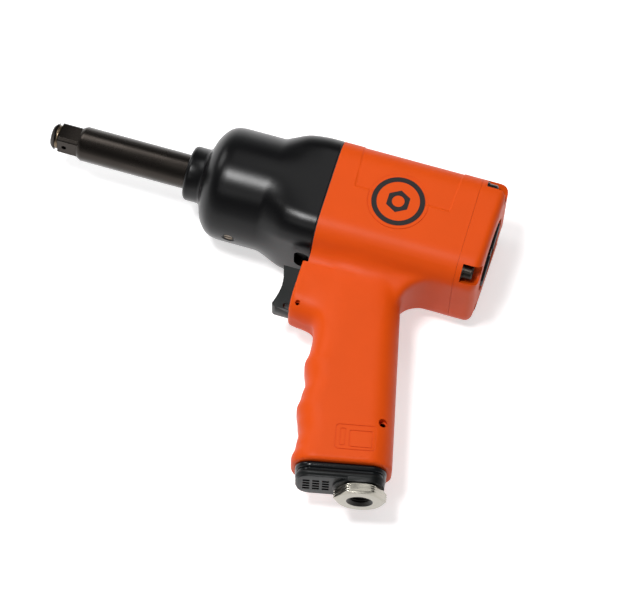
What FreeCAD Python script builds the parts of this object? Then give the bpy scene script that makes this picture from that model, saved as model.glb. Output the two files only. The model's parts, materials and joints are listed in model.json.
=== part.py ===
import FreeCAD, Part
import math
import os

# Air impact wrench, half-inch square drive, long anvil. All sizes in millimetres.
#
# Frame: the spindle is the X axis. The origin is at the drive shoulder, where the round shank ends
# and the square begins; the square points along -X. The wrench lies on its right side, so +Z is the
# tool's left side and the grip hangs towards -Y.

V = FreeCAD.Vector

# ---- driving dimensions: drive end ----
SQUARE = 12.7            # across the flats of the half-inch square
SQUARE_LENGTH = 15.7
SQUARE_ROLL = -11.0      # how far the spindle happens to be turned, degrees
SQUARE_CORNER_R = 7.9    # the square's corners are turned down to this radius
TIP_R = 6.1
TIP_LENGTH = 3.0
RING_GROOVE_X = -12.4
RING_GROOVE_WIDTH = 2.2
RING_GROOVE_R = 5.0
CROSS_HOLE_R = 1.4
CROSS_HOLE_X = -7.6
SHANK_R = 9.5
SHANK_CHAMFER = 2.4
SHANK_LENGTH = 61.7      # from the shoulder to the front of the nose

# ---- hammer case ----
NOSE_R = 15.0
NOSE_LENGTH = 9.8
NOSE_EDGE = 1.2
CASE_R = 31.0
DOME_LENGTH = 15.5
BARREL_LENGTH = 20.0     # straight round part behind the dome
FLARE_LENGTH = 26.5      # round to square
FLANGE_LENGTH = 6.0
# share of the flare's length, share of the way from round to square
FLARE_GROWTH = [(0, 0), (0.07, 0.06), (0.18, 0.25), (0.29, 0.45), (0.41, 0.64), (0.52, 0.79), (0.64, 0.88),
                (0.77, 0.94), (0.89, 0.98), (1, 1)]
PLUG_X = 93.0            # grease plug, on the barrel
PLUG_ANGLE = -93.0       # degrees from the tool's left side, negative towards the grip
PLUG_R = 2.5
PLUG_SUNK = 0.6
PLUG_SLOT = 1.0
CASE_WALL = 3.5

# ---- motor housing ----
HOUSING_OVER_Y = 1.5    # how far the housing stands out past the case, up and down
HOUSING_OVER_Z = 0      # the same, to the sides
HOUSING_CORNER_R = 15.0
HOUSING_LENGTH = 76.5
COVER_LENGTH = 14.0
COVER_EDGE_R = 4.5
GASKET_T = 0.5
MOTOR_R = 25.0           # radius of the liner and the end plates
BOLT_R = 2.5
BOLT_Y = 24.5
BOLT_Z = 23.0
BOLT_HEAD_R = 4.25
BOLT_HEAD_LENGTH = 5.0
BOLT_WASHER_T = 0.8
POCKET_DEPTH = 11.5      # corner pockets, measured from the rear face
BOLT_THREAD = 10.0       # thread engaged in the case flange

# ---- grip: heights run up the grip's own axis from its bottom plane ----
GRIP_CANT = 12.0         # degrees the grip leans back
GRIP_X = 188.6           # centre of the grip's bottom plane
GRIP_Y = -142.8
GRIP_HALF_Z = 17.0
GRIP_CORNER_R = 12.5
GRIP_REAR = 25.6
GRIP_TOP = 116.0
GRIP_STEP = 2.6          # spacing of the outlines that make the finger hollows
GRIP_EDGE = 1.0          # chamfer round the bottom of the grip
# height, how far the front stands forward of the axis: flare, three finger hollows, two crests
GRIP_FRONT = [(0, 25.9), (3.6, 26.3), (9, 24.5), (17.5, 23.5), (24.5, 24.5), (31, 25.6), (37.5, 23.8),
              (45.5, 22.1), (56, 23.5), (64, 21.2), (70, 20.4), (92, 20.4), (GRIP_TOP, 20.4)]
GUARD_X = 137.0          # orange nose that houses the trigger
GUARD_TOP = -28.0
GUARD_BOTTOM = -71.5
GUARD_HALF_Z = 15.0
WEB_R = 9.0              # hollow behind the grip, under the housing

# ---- trigger and throttle ----
TRIGGER_FRONT = 127.0
TRIGGER_TOP = -40.0
TRIGGER_BOTTOM = -66.5
TRIGGER_HALF_Z = 7.0
TRIGGER_LENGTH = 23.0
TRIGGER_TRAVEL = 6.5
TRIGGER_HOLLOW = 2.1     # how deep the finger hollow is
TRIGGER_PIN_R = 1.3
TRIGGER_PIN_X = 141.3
TRIGGER_PIN_Y = -63.0
ROD_R = 2.5
ROD_Y = -52.5
ROD_BUSH_R = 5.0
ROD_BUSH_LENGTH = 11.0
TRIGGER_SPARE = 1.0      # space left behind the trigger when it is fully pulled
ROD_TO_STEM = 2.5        # gap between the rod and the throttle stem at rest
SPRING_ROOM = 16.5       # length of the trigger spring's room at rest
ROD_SOCKET = 4.0         # how deep the rod sits in the trigger
INLET_OFFSET = 10.6      # the air passage lies this far behind the grip's axis
INLET_R = 7.0
INLET_BODY_R = 8.5
SEAT_HEIGHT = 62.0       # height of the throttle seat's underside
SEAT_T = 4.0
SEAT_BORE_R = 4.0
VALVE_HEAD_R = 5.8
VALVE_HEAD_T = 4.5
VALVE_STEM_R = 2.0
ROCKER_R = 0.6           # round bead that the valve head tilts on
ROCKER_HALF = 2.0
ROCKER_INSET = 0.5       # from the rim of the valve head to the bead's axis
SPRING_WIRE_R = 0.5
SPRING_TURNS = 5
TRIGGER_COIL_R = 3.8
THROTTLE_COIL_R = 4.2
VALVE_STEM_TOP = 91.5
PASSAGE_TOP = 97.0

# ---- base, inlet and exhaust ----
BASE_INSET = 2.2
SEAL_T = 4.2             # ribbed seal between grip and base
SEAL_GROOVE = 0.9
BASE_T = 3.8
COLLAR_R = 14.6          # black collar round the inlet
COLLAR_T = 1.3
HEX_FLATS = 24.0
HEX_LENGTH = 6.1
INLET_SHANK = 30.0       # how far the inlet bushing reaches up the grip
THREAD_R = 5.7           # 1/4 inch pipe thread
THREAD_LENGTH = 12.0
THROAT_R = 4.5
GRILLE_PITCH_U = 5.0
GRILLE_PITCH_Z = 3.5
GRILLE_HOLE_U = 3.6
GRILLE_HOLE_Z = 2.3
GRILLE_FIRST_U = -17.5
EXHAUST_U = -12.0        # centre of the exhaust passage
EXHAUST_HALF_U = 6.0
EXHAUST_HALF_Z = 8.0
EXHAUST_TOP = 74.0
RISER_R = 3.0
RISER_U = -8.0
RISER_Z = 9.8
BASE_PIN_R = 1.75
BASE_PIN_HEIGHT = 22.8
BASE_PIN_U = 19.5

# ---- impact mechanism ----
CAGE_R = 26.8
CAGE_PLATE_T = 3.0
CAGE_REAR_T = 5.0
CAGE_HUB_R = 10.5
CAGE_BAR_HALF_Y = 9.0
CAGE_BAR_Z = 22.3
HAMMER_R = 25.2
HAMMER_FLAT_Z = 20.8
HAMMER_BORE_R = 13.6
HAMMER_LENGTH = 13.2
HAMMER_PIN_R = 3.0
HAMMER_PIN_Y = 21.5
HAMMER_SWING_ROOM = 5.0  # half width of the notch for the other hammer's pin
ANVIL_COLLAR_R = 13.0
ANVIL_COLLAR_T = 3.2
JAW_R = 12.5
JAW_CHORD = 4.0
PILOT_R = 6.0
BUSHING_LENGTH = 21.5
BUSHING_R = 12.5
SEAL_RING_T = 2.1
THRUST_WASHER_T = 1.7
THRUST_WASHER_R = 14.0

# ---- air motor ----
END_PLATE_T = 8.0
LINER_LENGTH = 46.0
LINER_BORE_R = 21.3
ROTOR_R = 19.0
ROTOR_END_GAP = 0.2
VANE_COUNT = 6
VANE_T = 1.6
VANE_DEPTH = 8.0
SPLINE_R = 5.5
SPLINE_ROOT_R = 4.4
SPLINE_TEETH = 6
FRONT_JOURNAL_R = 6.0
REAR_JOURNAL_R = 5.0
FRONT_BEARING_R = 13.0
REAR_BEARING_R = 12.0
BEARING_W = 7.0
FRONT_BALL_R = 2.4
REAR_BALL_R = 2.3
FRONT_BALLS = 8
BALL_CAGE_RIM = 0.6
REAR_BALLS = 7
WAVE_WASHER_T = 1.2
ALIGN_PIN_R = 1.2
ALIGN_PIN_INSET = 2.1    # from the rim of the end plates to the pin's axis

# ---- reverse dial ----
VALVE_R = 13.0
DIAL_R = 19.5
DIAL_RECESS_GAP = 0.6
DIAL_T = 5.0
DIAL_BAR_T = 3.0
DIAL_BAR_HALF = 3.4
DIAL_SUNK = 0.5          # how far the dial's bar stays inside the rear face
DETENT_R = 1.6
DETENT_Y = 15.8

# ---- side badge ----
BADGE_R = 14.3
BADGE_T = 0.4
BADGE_X = 177.2
BADGE_Y = 0.7
BADGE_PROUD = 0.1

# ---- clearances ----
RUN = 0.05               # running fit, on the radius
SLIP = 0.05              # assembled fit, on the radius
GAP = 0.3                # between bodies that pass each other
BALL_GAP = 0.05

# ---- places along the spindle that follow from the sizes above ----
NOSE_X = SHANK_LENGTH
DOME_X = NOSE_X + NOSE_LENGTH
BARREL_X = DOME_X + DOME_LENGTH
FLARE_X = BARREL_X + BARREL_LENGTH
FLANGE_X = FLARE_X + FLARE_LENGTH
JOINT_X = FLANGE_X + FLANGE_LENGTH
HOUSING_X = JOINT_X + GASKET_T
COVER_GASKET_X = HOUSING_X + HOUSING_LENGTH
COVER_X = COVER_GASKET_X + GASKET_T
REAR_X = COVER_X + COVER_LENGTH
POCKET_X = REAR_X - POCKET_DEPTH
ALIGN_PIN_Y = ALIGN_PIN_INSET - MOTOR_R
HOUSING_HALF_Y = CASE_R + HOUSING_OVER_Y
HOUSING_HALF_Z = CASE_R + HOUSING_OVER_Z
CAVITY_R = CASE_R - CASE_WALL
BUSHING_X = NOSE_X + SEAL_RING_T + 0.7
BUSHING_END = BUSHING_X + BUSHING_LENGTH
COLLAR_X = BUSHING_END + THRUST_WASHER_T + 2 * GAP
CAGE_X = COLLAR_X + ANVIL_COLLAR_T + 1.0
FRONT_HAMMER_X = CAGE_X + CAGE_PLATE_T + 2 * GAP
REAR_HAMMER_X = FRONT_HAMMER_X + HAMMER_LENGTH + 1.0
CAGE_REAR_X = REAR_HAMMER_X + HAMMER_LENGTH + 2 * GAP
CAGE_HUB_X = CAGE_REAR_X + CAGE_REAR_T
PLATE_X = HOUSING_X
LINER_X = PLATE_X + END_PLATE_T
REAR_PLATE_X = LINER_X + LINER_LENGTH
STACK_END = REAR_PLATE_X + END_PLATE_T
SHOULDER_X = STACK_END + WAVE_WASHER_T
CAGE_END = PLATE_X - 1.0 - GAP
LINER_OFFSET = LINER_BORE_R - ROTOR_R - GAP
DIAL_FACE_X = REAR_X - DIAL_SUNK
DIAL_BACK_X = DIAL_FACE_X - DIAL_BAR_T - DIAL_T
RECESS_X = DIAL_BACK_X - GAP
TRIGGER_SLOT_END = TRIGGER_FRONT + TRIGGER_LENGTH + TRIGGER_TRAVEL + TRIGGER_SPARE
ROD_BUSH_X = TRIGGER_SLOT_END
SPRING_X = ROD_BUSH_X - SPRING_ROOM
ROD_X = SPRING_X - ROD_SOCKET
GRIP_BASE = FreeCAD.Placement(V(GRIP_X, GRIP_Y, 0), FreeCAD.Rotation(V(0, 0, 1), GRIP_CANT))


# ---------------------------------------------------------------- small helpers
def rod(x0, x1, r, y=0.0, z=0.0):
    """Cylinder along X from x0 to x1."""
    return Part.makeCylinder(r, x1 - x0, V(x0, y, z), V(1, 0, 0))


def cone(x0, x1, r0, r1):
    """Cone along X."""
    return Part.makeCone(r0, r1, x1 - x0, V(x0, 0, 0), V(1, 0, 0))


def ring(x0, x1, outer, inner, y=0.0, z=0.0):
    return rod(x0, x1, outer, y, z).cut(rod(x0 - 1, x1 + 1, inner, y, z))


def block(x0, x1, y0, y1, z0, z1):
    return Part.makeBox(x1 - x0, y1 - y0, z1 - z0, V(x0, y0, z0))


def turned(points):
    """Solid of revolution about X from an outline of (x, radius) points."""
    wire = Part.makePolygon([V(x, r, 0) for x, r in points] + [V(points[0][0], points[0][1], 0)])
    return Part.Face(wire).revolve(V(0, 0, 0), V(1, 0, 0), 360)


def section(x, half_y, half_z, r):
    """Rounded rectangle across the spindle at x, as four lines and four arcs."""
    cy, cz = half_y - r, half_z - r
    k = r * math.sqrt(0.5)
    edges = []
    corners = [(1, 1), (-1, 1), (-1, -1), (1, -1)]
    for i, (sy, sz) in enumerate(corners):
        along_y = i % 2 == 1
        start = V(x, sy * cy, sz * half_z) if along_y else V(x, sy * half_y, sz * cz)
        end = V(x, sy * half_y, sz * cz) if along_y else V(x, sy * cy, sz * half_z)
        edges.append(Part.Arc(start, V(x, sy * (cy + k), sz * (cz + k)), end).toShape())
        ny, nz = corners[(i + 1) % 4]
        after = V(x, ny * half_y, nz * cz) if along_y else V(x, ny * cy, nz * half_z)
        edges.append(Part.LineSegment(end, after).toShape())
    return Part.Wire(edges)


def prism(x0, x1, half_y=HOUSING_HALF_Y, half_z=HOUSING_HALF_Z, r=HOUSING_CORNER_R):
    """Housing section, extruded along X."""
    return Part.Face(section(x0, half_y, half_z, r)).extrude(V(x1 - x0, 0, 0))


def bolt_places():
    return [(sy * BOLT_Y, sz * BOLT_Z) for sy in (1, -1) for sz in (1, -1)]


def grip_rod(s0, s1, r, u=0.0, z=0.0):
    """Cylinder along the grip's axis, in the grip's own frame."""
    return Part.makeCylinder(r, s1 - s0, V(u, s0, z), V(0, 1, 0))


def grip_ring(s0, s1, outer, inner, u=0.0):
    return grip_rod(s0, s1, outer, u).cut(grip_rod(s0 - 1, s1 + 1, inner, u))


def in_grip(shape):
    """Moves a shape from the grip's own frame to the wrench's frame."""
    placed = shape.copy()
    placed.Placement = GRIP_BASE.multiply(shape.Placement)
    return placed


def grip_section(s, front, rear, half_z, r):
    """Rounded outline across the grip at height s: four arcs joined by four lines."""
    k = r * (1 - math.sqrt(0.5))
    left, right = -front, rear
    pts = [V(left + r, s, half_z), V(right - r, s, half_z), V(right, s, half_z - r), V(right, s, r - half_z),
           V(right - r, s, -half_z), V(left + r, s, -half_z), V(left, s, r - half_z), V(left, s, half_z - r)]
    mids = [V(right - k, s, half_z - k), V(right - k, s, k - half_z),
            V(left + k, s, k - half_z), V(left + k, s, half_z - k)]
    edges = []
    for i in range(4):
        edges.append(Part.LineSegment(pts[2 * i], pts[2 * i + 1]).toShape())
        edges.append(Part.Arc(pts[2 * i + 1], mids[i], pts[(2 * i + 2) % 8]).toShape())
    return Part.Wire(edges)


def plan_slab(x0, x1, y0, y1, half_z, r):
    """Upright slab whose two front corners are rounded when seen along Y."""
    k = r * (1 - math.sqrt(0.5))
    pts = [V(x1, y0, half_z), V(x0 + r, y0, half_z), V(x0, y0, half_z - r),
           V(x0, y0, r - half_z), V(x0 + r, y0, -half_z), V(x1, y0, -half_z)]
    edges = [Part.LineSegment(pts[0], pts[1]).toShape(),
             Part.Arc(pts[1], V(x0 + k, y0, half_z - k), pts[2]).toShape(),
             Part.LineSegment(pts[2], pts[3]).toShape(),
             Part.Arc(pts[3], V(x0 + k, y0, k - half_z), pts[4]).toShape(),
             Part.LineSegment(pts[4], pts[5]).toShape(), Part.LineSegment(pts[5], pts[0]).toShape()]
    return Part.Face(Part.Wire(edges)).extrude(V(0, y1 - y0, 0))


def fuse(first, *others):
    shape = first
    for other in others:
        shape = shape.fuse(other)
    return shape.removeSplitter()


def cut(first, *others):
    shape = first
    for other in others:
        shape = shape.cut(other)
    return shape


def spring(length, radius, wire_r, turns):
    """Open coil spring along Z from 0 to length, as one closed solid."""
    path = Part.makeHelix((length - 2 * wire_r) / turns, length - 2 * wire_r, radius)
    start = path.Edges[0].valueAt(path.Edges[0].FirstParameter)
    direction = path.Edges[0].tangentAt(path.Edges[0].FirstParameter)
    profile = Part.Wire([Part.makeCircle(wire_r, start, direction)])
    coil = Part.Wire(path.Edges).makePipeShell([profile], True, True)
    coil.translate(V(0, 0, wire_r))
    return coil


# ---------------------------------------------------------------- drive end
def make_anvil():
    """Square drive, shank, collar, two impact jaws and the rear pilot, in one forging."""
    half = SQUARE / 2
    square = block(-SQUARE_LENGTH, 0.5, -half, half, -half, half)
    square = square.common(rod(-SQUARE_LENGTH, 0.5, SQUARE_CORNER_R))
    tip = cone(-SQUARE_LENGTH, -SQUARE_LENGTH + TIP_LENGTH, TIP_R, SQUARE_CORNER_R)
    square = square.common(tip.fuse(rod(-SQUARE_LENGTH + TIP_LENGTH, 1, SQUARE_CORNER_R)))
    groove = ring(RING_GROOVE_X - RING_GROOVE_WIDTH / 2, RING_GROOVE_X + RING_GROOVE_WIDTH / 2,
                  SQUARE_CORNER_R + 1, RING_GROOVE_R)
    cross = Part.makeCylinder(CROSS_HOLE_R, 3 * SQUARE, V(CROSS_HOLE_X, -1.5 * SQUARE, 0), V(0, 1, 0))
    square = cut(square, groove, cross)
    square.rotate(V(0, 0, 0), V(1, 0, 0), SQUARE_ROLL)
    shank = rod(SHANK_CHAMFER, CAGE_REAR_X - GAP, SHANK_R)
    shank = fuse(cone(0, SHANK_CHAMFER, SHANK_R - 1.0, SHANK_R), shank)
    collar = rod(COLLAR_X, COLLAR_X + ANVIL_COLLAR_T, ANVIL_COLLAR_R)
    pilot = rod(CAGE_REAR_X - 1, CAGE_REAR_X + CAGE_REAR_T - 1.4, PILOT_R)
    front_jaw = rod(FRONT_HAMMER_X + 0.4, FRONT_HAMMER_X + HAMMER_LENGTH - 0.4, JAW_R)
    front_jaw = front_jaw.common(block(FRONT_HAMMER_X, REAR_HAMMER_X, JAW_CHORD, JAW_R + 1, -JAW_R, JAW_R))
    rear_jaw = rod(REAR_HAMMER_X + 0.4, REAR_HAMMER_X + HAMMER_LENGTH - 0.4, JAW_R)
    rear_jaw = rear_jaw.common(block(REAR_HAMMER_X, CAGE_REAR_X, -JAW_R - 1, -JAW_CHORD, -JAW_R, JAW_R))
    return fuse(shank, collar, pilot, front_jaw, rear_jaw, square)


def split_ring(x0, x1, outer, inner, slot):
    """Ring with a radial slot, so that it can be sprung over the square."""
    opening = block(x0 - 1, x1 + 1, 0, outer + 1, -slot / 2, slot / 2)
    piece = ring(x0, x1, outer, inner).cut(opening)
    piece.rotate(V(0, 0, 0), V(1, 0, 0), SQUARE_ROLL)
    return piece


def make_socket_retainer_ring():
    half = RING_GROOVE_WIDTH / 2 - SLIP
    return split_ring(RING_GROOVE_X - half, RING_GROOVE_X + half, SQUARE / 2 + 0.45, SQUARE / 2 - 0.55, 1.4)


def make_retainer_cushion_ring():
    half = RING_GROOVE_WIDTH / 2 - 2 * SLIP
    return ring(RING_GROOVE_X - half, RING_GROOVE_X + half, SQUARE / 2 - 0.6, RING_GROOVE_R + SLIP)


def make_anvil_seal():
    x0 = NOSE_X + 0.6
    return ring(x0, x0 + SEAL_RING_T, BUSHING_R, SHANK_R + RUN)


def make_anvil_bushing():
    return ring(BUSHING_X, BUSHING_END, BUSHING_R, SHANK_R + RUN)


def make_thrust_washer():
    return ring(BUSHING_END, BUSHING_END + THRUST_WASHER_T, THRUST_WASHER_R, SHANK_R + GAP)


def case_outline():
    """Nose collar, hollow fillet and dome, as one turned outline."""
    fillet_x = DOME_X + 0.12 * DOME_LENGTH
    nose = [V(NOSE_X, 0, 0), V(NOSE_X, NOSE_R - NOSE_EDGE, 0), V(NOSE_X + NOSE_EDGE, NOSE_R, 0),
            V(DOME_X - 1.5, NOSE_R, 0)]
    edges = [Part.LineSegment(nose[i], nose[i + 1]).toShape() for i in range(3)]
    shoulder = V(fillet_x, NOSE_R + 2.2, 0)
    edges.append(Part.Arc(nose[3], V(DOME_X + 0.8, NOSE_R + 0.6, 0), shoulder).toShape())
    end = V(BARREL_X, CASE_R, 0)
    dome = Part.BSplineCurve()
    dome.interpolate([shoulder, V(DOME_X + 0.22 * DOME_LENGTH, 0.735 * CASE_R, 0),
                      V(DOME_X + 0.52 * DOME_LENGTH, 0.93 * CASE_R, 0), end],
                     InitialTangent=V(0.35, 1, 0), FinalTangent=V(1, 0, 0))
    edges.append(dome.toShape())
    tail = [end, V(FLARE_X, CASE_R, 0), V(FLARE_X, 0, 0), nose[0]]
    edges += [Part.LineSegment(tail[i], tail[i + 1]).toShape() for i in range(3)]
    return Part.Wire(edges)


def make_hammer_case():
    """Domed case with a round nose, flared at the back to the housing's rounded square."""
    front = Part.Face(case_outline()).revolve(V(0, 0, 0), V(1, 0, 0), 360)
    wires = []
    for share, grown in FLARE_GROWTH:
        half_y = CASE_R + grown * (HOUSING_HALF_Y - CASE_R)
        half_z = CASE_R + grown * (HOUSING_HALF_Z - CASE_R)
        corner = CASE_R - 0.4 + grown * (HOUSING_CORNER_R - CASE_R + 0.4)
        wires.append(section(FLARE_X + share * FLARE_LENGTH, half_y, half_z, corner))
    flare = Part.makeLoft(wires, True, False)
    body = fuse(front, flare, prism(FLANGE_X, JOINT_X))
    seat_r = THRUST_WASHER_R + 0.2
    cavity = turned([(BUSHING_END, 0), (BUSHING_END, seat_r), (BUSHING_END + 2.2, seat_r),
                     (BUSHING_END + 2.6, seat_r + 6), (BUSHING_END + 5.6, CAVITY_R),
                     (JOINT_X + 1, CAVITY_R), (JOINT_X + 1, 0)])
    bore = rod(NOSE_X + 0.6, BUSHING_END + 1, BUSHING_R)
    mouth = rod(NOSE_X - 1, NOSE_X + 2, SHANK_R + 1.0)
    holes = [rod(JOINT_X - BOLT_THREAD - 1, JOINT_X + 1, BOLT_R + SLIP, y, z) for y, z in bolt_places()]
    return cut(body, cavity, bore, mouth, plug_cutter(SLIP, CASE_WALL), *holes)


def plug_axis():
    """Foot and direction of the grease plug, low on the front of the case."""
    angle = math.radians(PLUG_ANGLE)
    direction = V(0, math.sin(angle), math.cos(angle))
    return V(PLUG_X, 0, 0) + direction * (CAVITY_R + GAP), direction


def plug_cutter(extra, length):
    foot, direction = plug_axis()
    return Part.makeCylinder(PLUG_R + extra, length, foot, direction)


def make_grease_plug():
    """Set screw, finishing just under the case's surface, with a screwdriver slot."""
    foot, direction = plug_axis()
    length = CASE_WALL - GAP - PLUG_SUNK
    plug = Part.makeCylinder(PLUG_R, length, foot, direction)
    slot = Part.makeBox(4 * PLUG_R, PLUG_SLOT, PLUG_SLOT + 1, V(-2 * PLUG_R, -PLUG_SLOT / 2, 0))
    turn = FreeCAD.Rotation(V(0, 0, 1), direction)
    slot.Placement = FreeCAD.Placement(foot + direction * (length - PLUG_SLOT), turn)
    return plug.cut(slot)


# ---------------------------------------------------------------- impact mechanism
def make_hammer_cage():
    """Front ring, rear plate with splined hub, joined by two side bars."""
    front = ring(CAGE_X, CAGE_X + CAGE_PLATE_T, CAGE_R, SHANK_R + RUN)
    rear = rod(CAGE_REAR_X, CAGE_HUB_X, CAGE_R)
    hub = rod(CAGE_HUB_X - 1, CAGE_END, CAGE_HUB_R)
    bars = block(CAGE_X + 1, CAGE_REAR_X + 1, -CAGE_BAR_HALF_Y, CAGE_BAR_HALF_Y, -CAGE_R, CAGE_R)
    bars = bars.common(rod(CAGE_X, CAGE_HUB_X, CAGE_R))
    bars = bars.cut(block(CAGE_X, CAGE_HUB_X, -CAGE_R, CAGE_R, -CAGE_BAR_Z, CAGE_BAR_Z))
    cage = fuse(front, rear, hub, *bars.Solids)
    pilot_hole = rod(CAGE_REAR_X - 1, CAGE_HUB_X - 1, PILOT_R + RUN)
    pins = [rod(CAGE_X + 1, CAGE_HUB_X - 1, HAMMER_PIN_R, y) for y in (HAMMER_PIN_Y, -HAMMER_PIN_Y)]
    return cut(cage, pilot_hole, spline(CAGE_HUB_X - 2, CAGE_END + 1, SLIP), *pins)


def make_hammer(x0, side):
    """Hammer that rocks on the pin at +Y or -Y and clears the other pin."""
    body = rod(x0, x0 + HAMMER_LENGTH, HAMMER_R)
    body = body.common(block(x0, x0 + HAMMER_LENGTH, -HAMMER_R, HAMMER_R, -HAMMER_FLAT_Z, HAMMER_FLAT_Z))
    bore = rod(x0 - 1, x0 + HAMMER_LENGTH + 1, HAMMER_BORE_R)
    own = HAMMER_PIN_R + RUN
    pin_hole = rod(x0 - 1, x0 + HAMMER_LENGTH + 1, own, side * HAMMER_PIN_Y)
    far = sorted((side * HAMMER_PIN_Y, side * (HAMMER_R + 2)))
    mouth = block(x0 - 1, x0 + HAMMER_LENGTH + 1, far[0], far[1], -own, own)
    near = sorted((-side * (HAMMER_PIN_Y - HAMMER_PIN_R - 1), -side * (HAMMER_R + 2)))
    notch = block(x0 - 1, x0 + HAMMER_LENGTH + 1, near[0], near[1], -HAMMER_SWING_ROOM, HAMMER_SWING_ROOM)
    return cut(body, bore, pin_hole, mouth, notch)


def make_hammer_pins():
    pins = [rod(CAGE_X + 1, CAGE_HUB_X - 1, HAMMER_PIN_R, y) for y in (HAMMER_PIN_Y, -HAMMER_PIN_Y)]
    return Part.makeCompound(pins)


def make_cage_washer():
    return ring(PLATE_X - 1.0, PLATE_X, CAGE_HUB_R + 1, FRONT_JOURNAL_R + GAP)


# ---------------------------------------------------------------- air motor
def spline(x0, x1, extra=0.0):
    """Straight-sided spline: a root cylinder with teeth."""
    shape = rod(x0, x1, SPLINE_ROOT_R + extra)
    width = math.pi * SPLINE_R / SPLINE_TEETH
    for i in range(SPLINE_TEETH):
        tooth = block(x0, x1, 0, SPLINE_R + extra, -width / 2 - extra, width / 2 + extra)
        tooth = tooth.common(rod(x0, x1, SPLINE_R + extra))
        tooth.rotate(V(0, 0, 0), V(1, 0, 0), 360.0 * i / SPLINE_TEETH)
        shape = shape.fuse(tooth)
    return shape.removeSplitter()


def vane(outer, depth, thick, x0, x1, i):
    piece = block(x0, x1, outer - depth, outer, -thick / 2, thick / 2)
    piece.rotate(V(0, 0, 0), V(1, 0, 0), 360.0 * i / VANE_COUNT)
    return piece


def make_rotor():
    """Slotted rotor with its front spline and two bearing journals."""
    x0, x1 = LINER_X + ROTOR_END_GAP, REAR_PLATE_X - ROTOR_END_GAP
    body = rod(x0, x1, ROTOR_R)
    body = fuse(body, rod(PLATE_X - 1.2, x0 + 1, FRONT_JOURNAL_R), rod(x1 - 1, STACK_END, REAR_JOURNAL_R),
                spline(CAGE_HUB_X - 0.6, PLATE_X))
    slot_t = VANE_T + 2 * SLIP
    slots = [vane(ROTOR_R + 1, VANE_DEPTH + 1.3, slot_t, x0 - 1, x1 + 1, i) for i in range(VANE_COUNT)]
    slots = [slot.common(rod(x0, x1, ROTOR_R + 3)) for slot in slots]
    return cut(body, *slots)


def make_rotor_vanes():
    """Six vanes, drawn fully into their slots."""
    x0, x1 = LINER_X + ROTOR_END_GAP, REAR_PLATE_X - ROTOR_END_GAP
    return Part.makeCompound([vane(ROTOR_R - 0.1, VANE_DEPTH, VANE_T, x0, x1, i) for i in range(VANE_COUNT)])


def align_hole(shape, x0, x1):
    return shape.cut(rod(x0, x1, ALIGN_PIN_R, ALIGN_PIN_Y))


def make_cylinder_liner():
    """Liner whose bore is set off the spindle, with its air ports."""
    bore = rod(LINER_X - 1, REAR_PLATE_X + 1, LINER_BORE_R, LINER_OFFSET)
    liner = rod(LINER_X, REAR_PLATE_X, MOTOR_R).cut(bore)
    ports = []
    for i in range(4):
        for side in (1, -1):
            x = LINER_X + LINER_LENGTH * (0.2 + 0.2 * i)
            ports.append(Part.makeCylinder(1.8, 30, V(x, -8, 0), V(0, -0.35, side)))
    return align_hole(cut(liner, *ports), LINER_X - 1, REAR_PLATE_X + 1)


def make_front_end_plate():
    plate = rod(PLATE_X, LINER_X, MOTOR_R)
    seat = rod(PLATE_X - 1, PLATE_X + BEARING_W, FRONT_BEARING_R)
    bored = cut(plate, seat, rod(PLATE_X, LINER_X + 1, FRONT_JOURNAL_R + GAP))
    return align_hole(bored, PLATE_X + 2, LINER_X + 1)


def make_rear_end_plate():
    plate = rod(REAR_PLATE_X, STACK_END, MOTOR_R)
    seat = rod(STACK_END - BEARING_W, STACK_END + 1, REAR_BEARING_R)
    shaft = rod(REAR_PLATE_X - 1, STACK_END, REAR_JOURNAL_R + GAP)
    return align_hole(cut(plate, seat, shaft), REAR_PLATE_X - 1, STACK_END - 2)


def make_alignment_pin():
    return rod(PLATE_X + 2, STACK_END - 2, ALIGN_PIN_R, ALIGN_PIN_Y)


def make_wave_washer():
    return ring(STACK_END, SHOULDER_X, MOTOR_R - 1, MOTOR_R - 5)


def race(x0, outer, inner, pitch, ball_r):
    groove = Part.makeTorus(pitch, ball_r + BALL_GAP, V(x0 + BEARING_W / 2, 0, 0), V(1, 0, 0))
    return ring(x0, x0 + BEARING_W, outer, inner).cut(groove)


def make_bearing(name, x0, outer_r, bore_r, ball_r, count):
    """Ball bearing as four nodes: two races, the balls and their cage."""
    pitch = (outer_r + bore_r) / 2
    middle = x0 + BEARING_W / 2
    balls = []
    for i in range(count):
        a = 2 * math.pi * i / count
        balls.append(Part.makeSphere(ball_r, V(middle, pitch * math.cos(a), pitch * math.sin(a))))
    half = ball_r + BALL_CAGE_RIM
    cage = ring(middle - half, middle + half, pitch + 0.35 * ball_r, pitch - 0.35 * ball_r)
    return {
        name + "_outer_race": race(x0, outer_r, pitch + 0.55 * ball_r, pitch, ball_r),
        name + "_inner_race": race(x0, pitch - 0.55 * ball_r, bore_r, pitch, ball_r),
        name + "_balls": Part.makeCompound(balls),
        name + "_cage": cut(cage, *balls),
    }


# ---------------------------------------------------------------- housing, covers, bolts
def grip_front(s):
    """How far the grip's front stands forward at height s, eased between the listed heights."""
    for (s0, f0), (s1, f1) in zip(GRIP_FRONT, GRIP_FRONT[1:]):
        if s0 <= s <= s1:
            share = (1 - math.cos(math.pi * (s - s0) / (s1 - s0))) / 2
            return f0 + share * (f1 - f0)
    return GRIP_FRONT[-1][1]


def grip_outer():
    """Pistol grip as a loft of rounded outlines, with finger hollows in its front."""
    wires = []
    last_hollow = GRIP_FRONT[-3][0]
    heights = [GRIP_STEP * i for i in range(int(last_hollow / GRIP_STEP) + 1)] + [GRIP_TOP]
    for s in heights:
        chamfer = GRIP_EDGE if s == 0 else 0.0
        wires.append(grip_section(s, grip_front(s) - chamfer, GRIP_REAR - chamfer,
                                  GRIP_HALF_Z - chamfer, GRIP_CORNER_R - chamfer))
    return in_grip(Part.makeLoft(wires, True, True))


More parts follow.
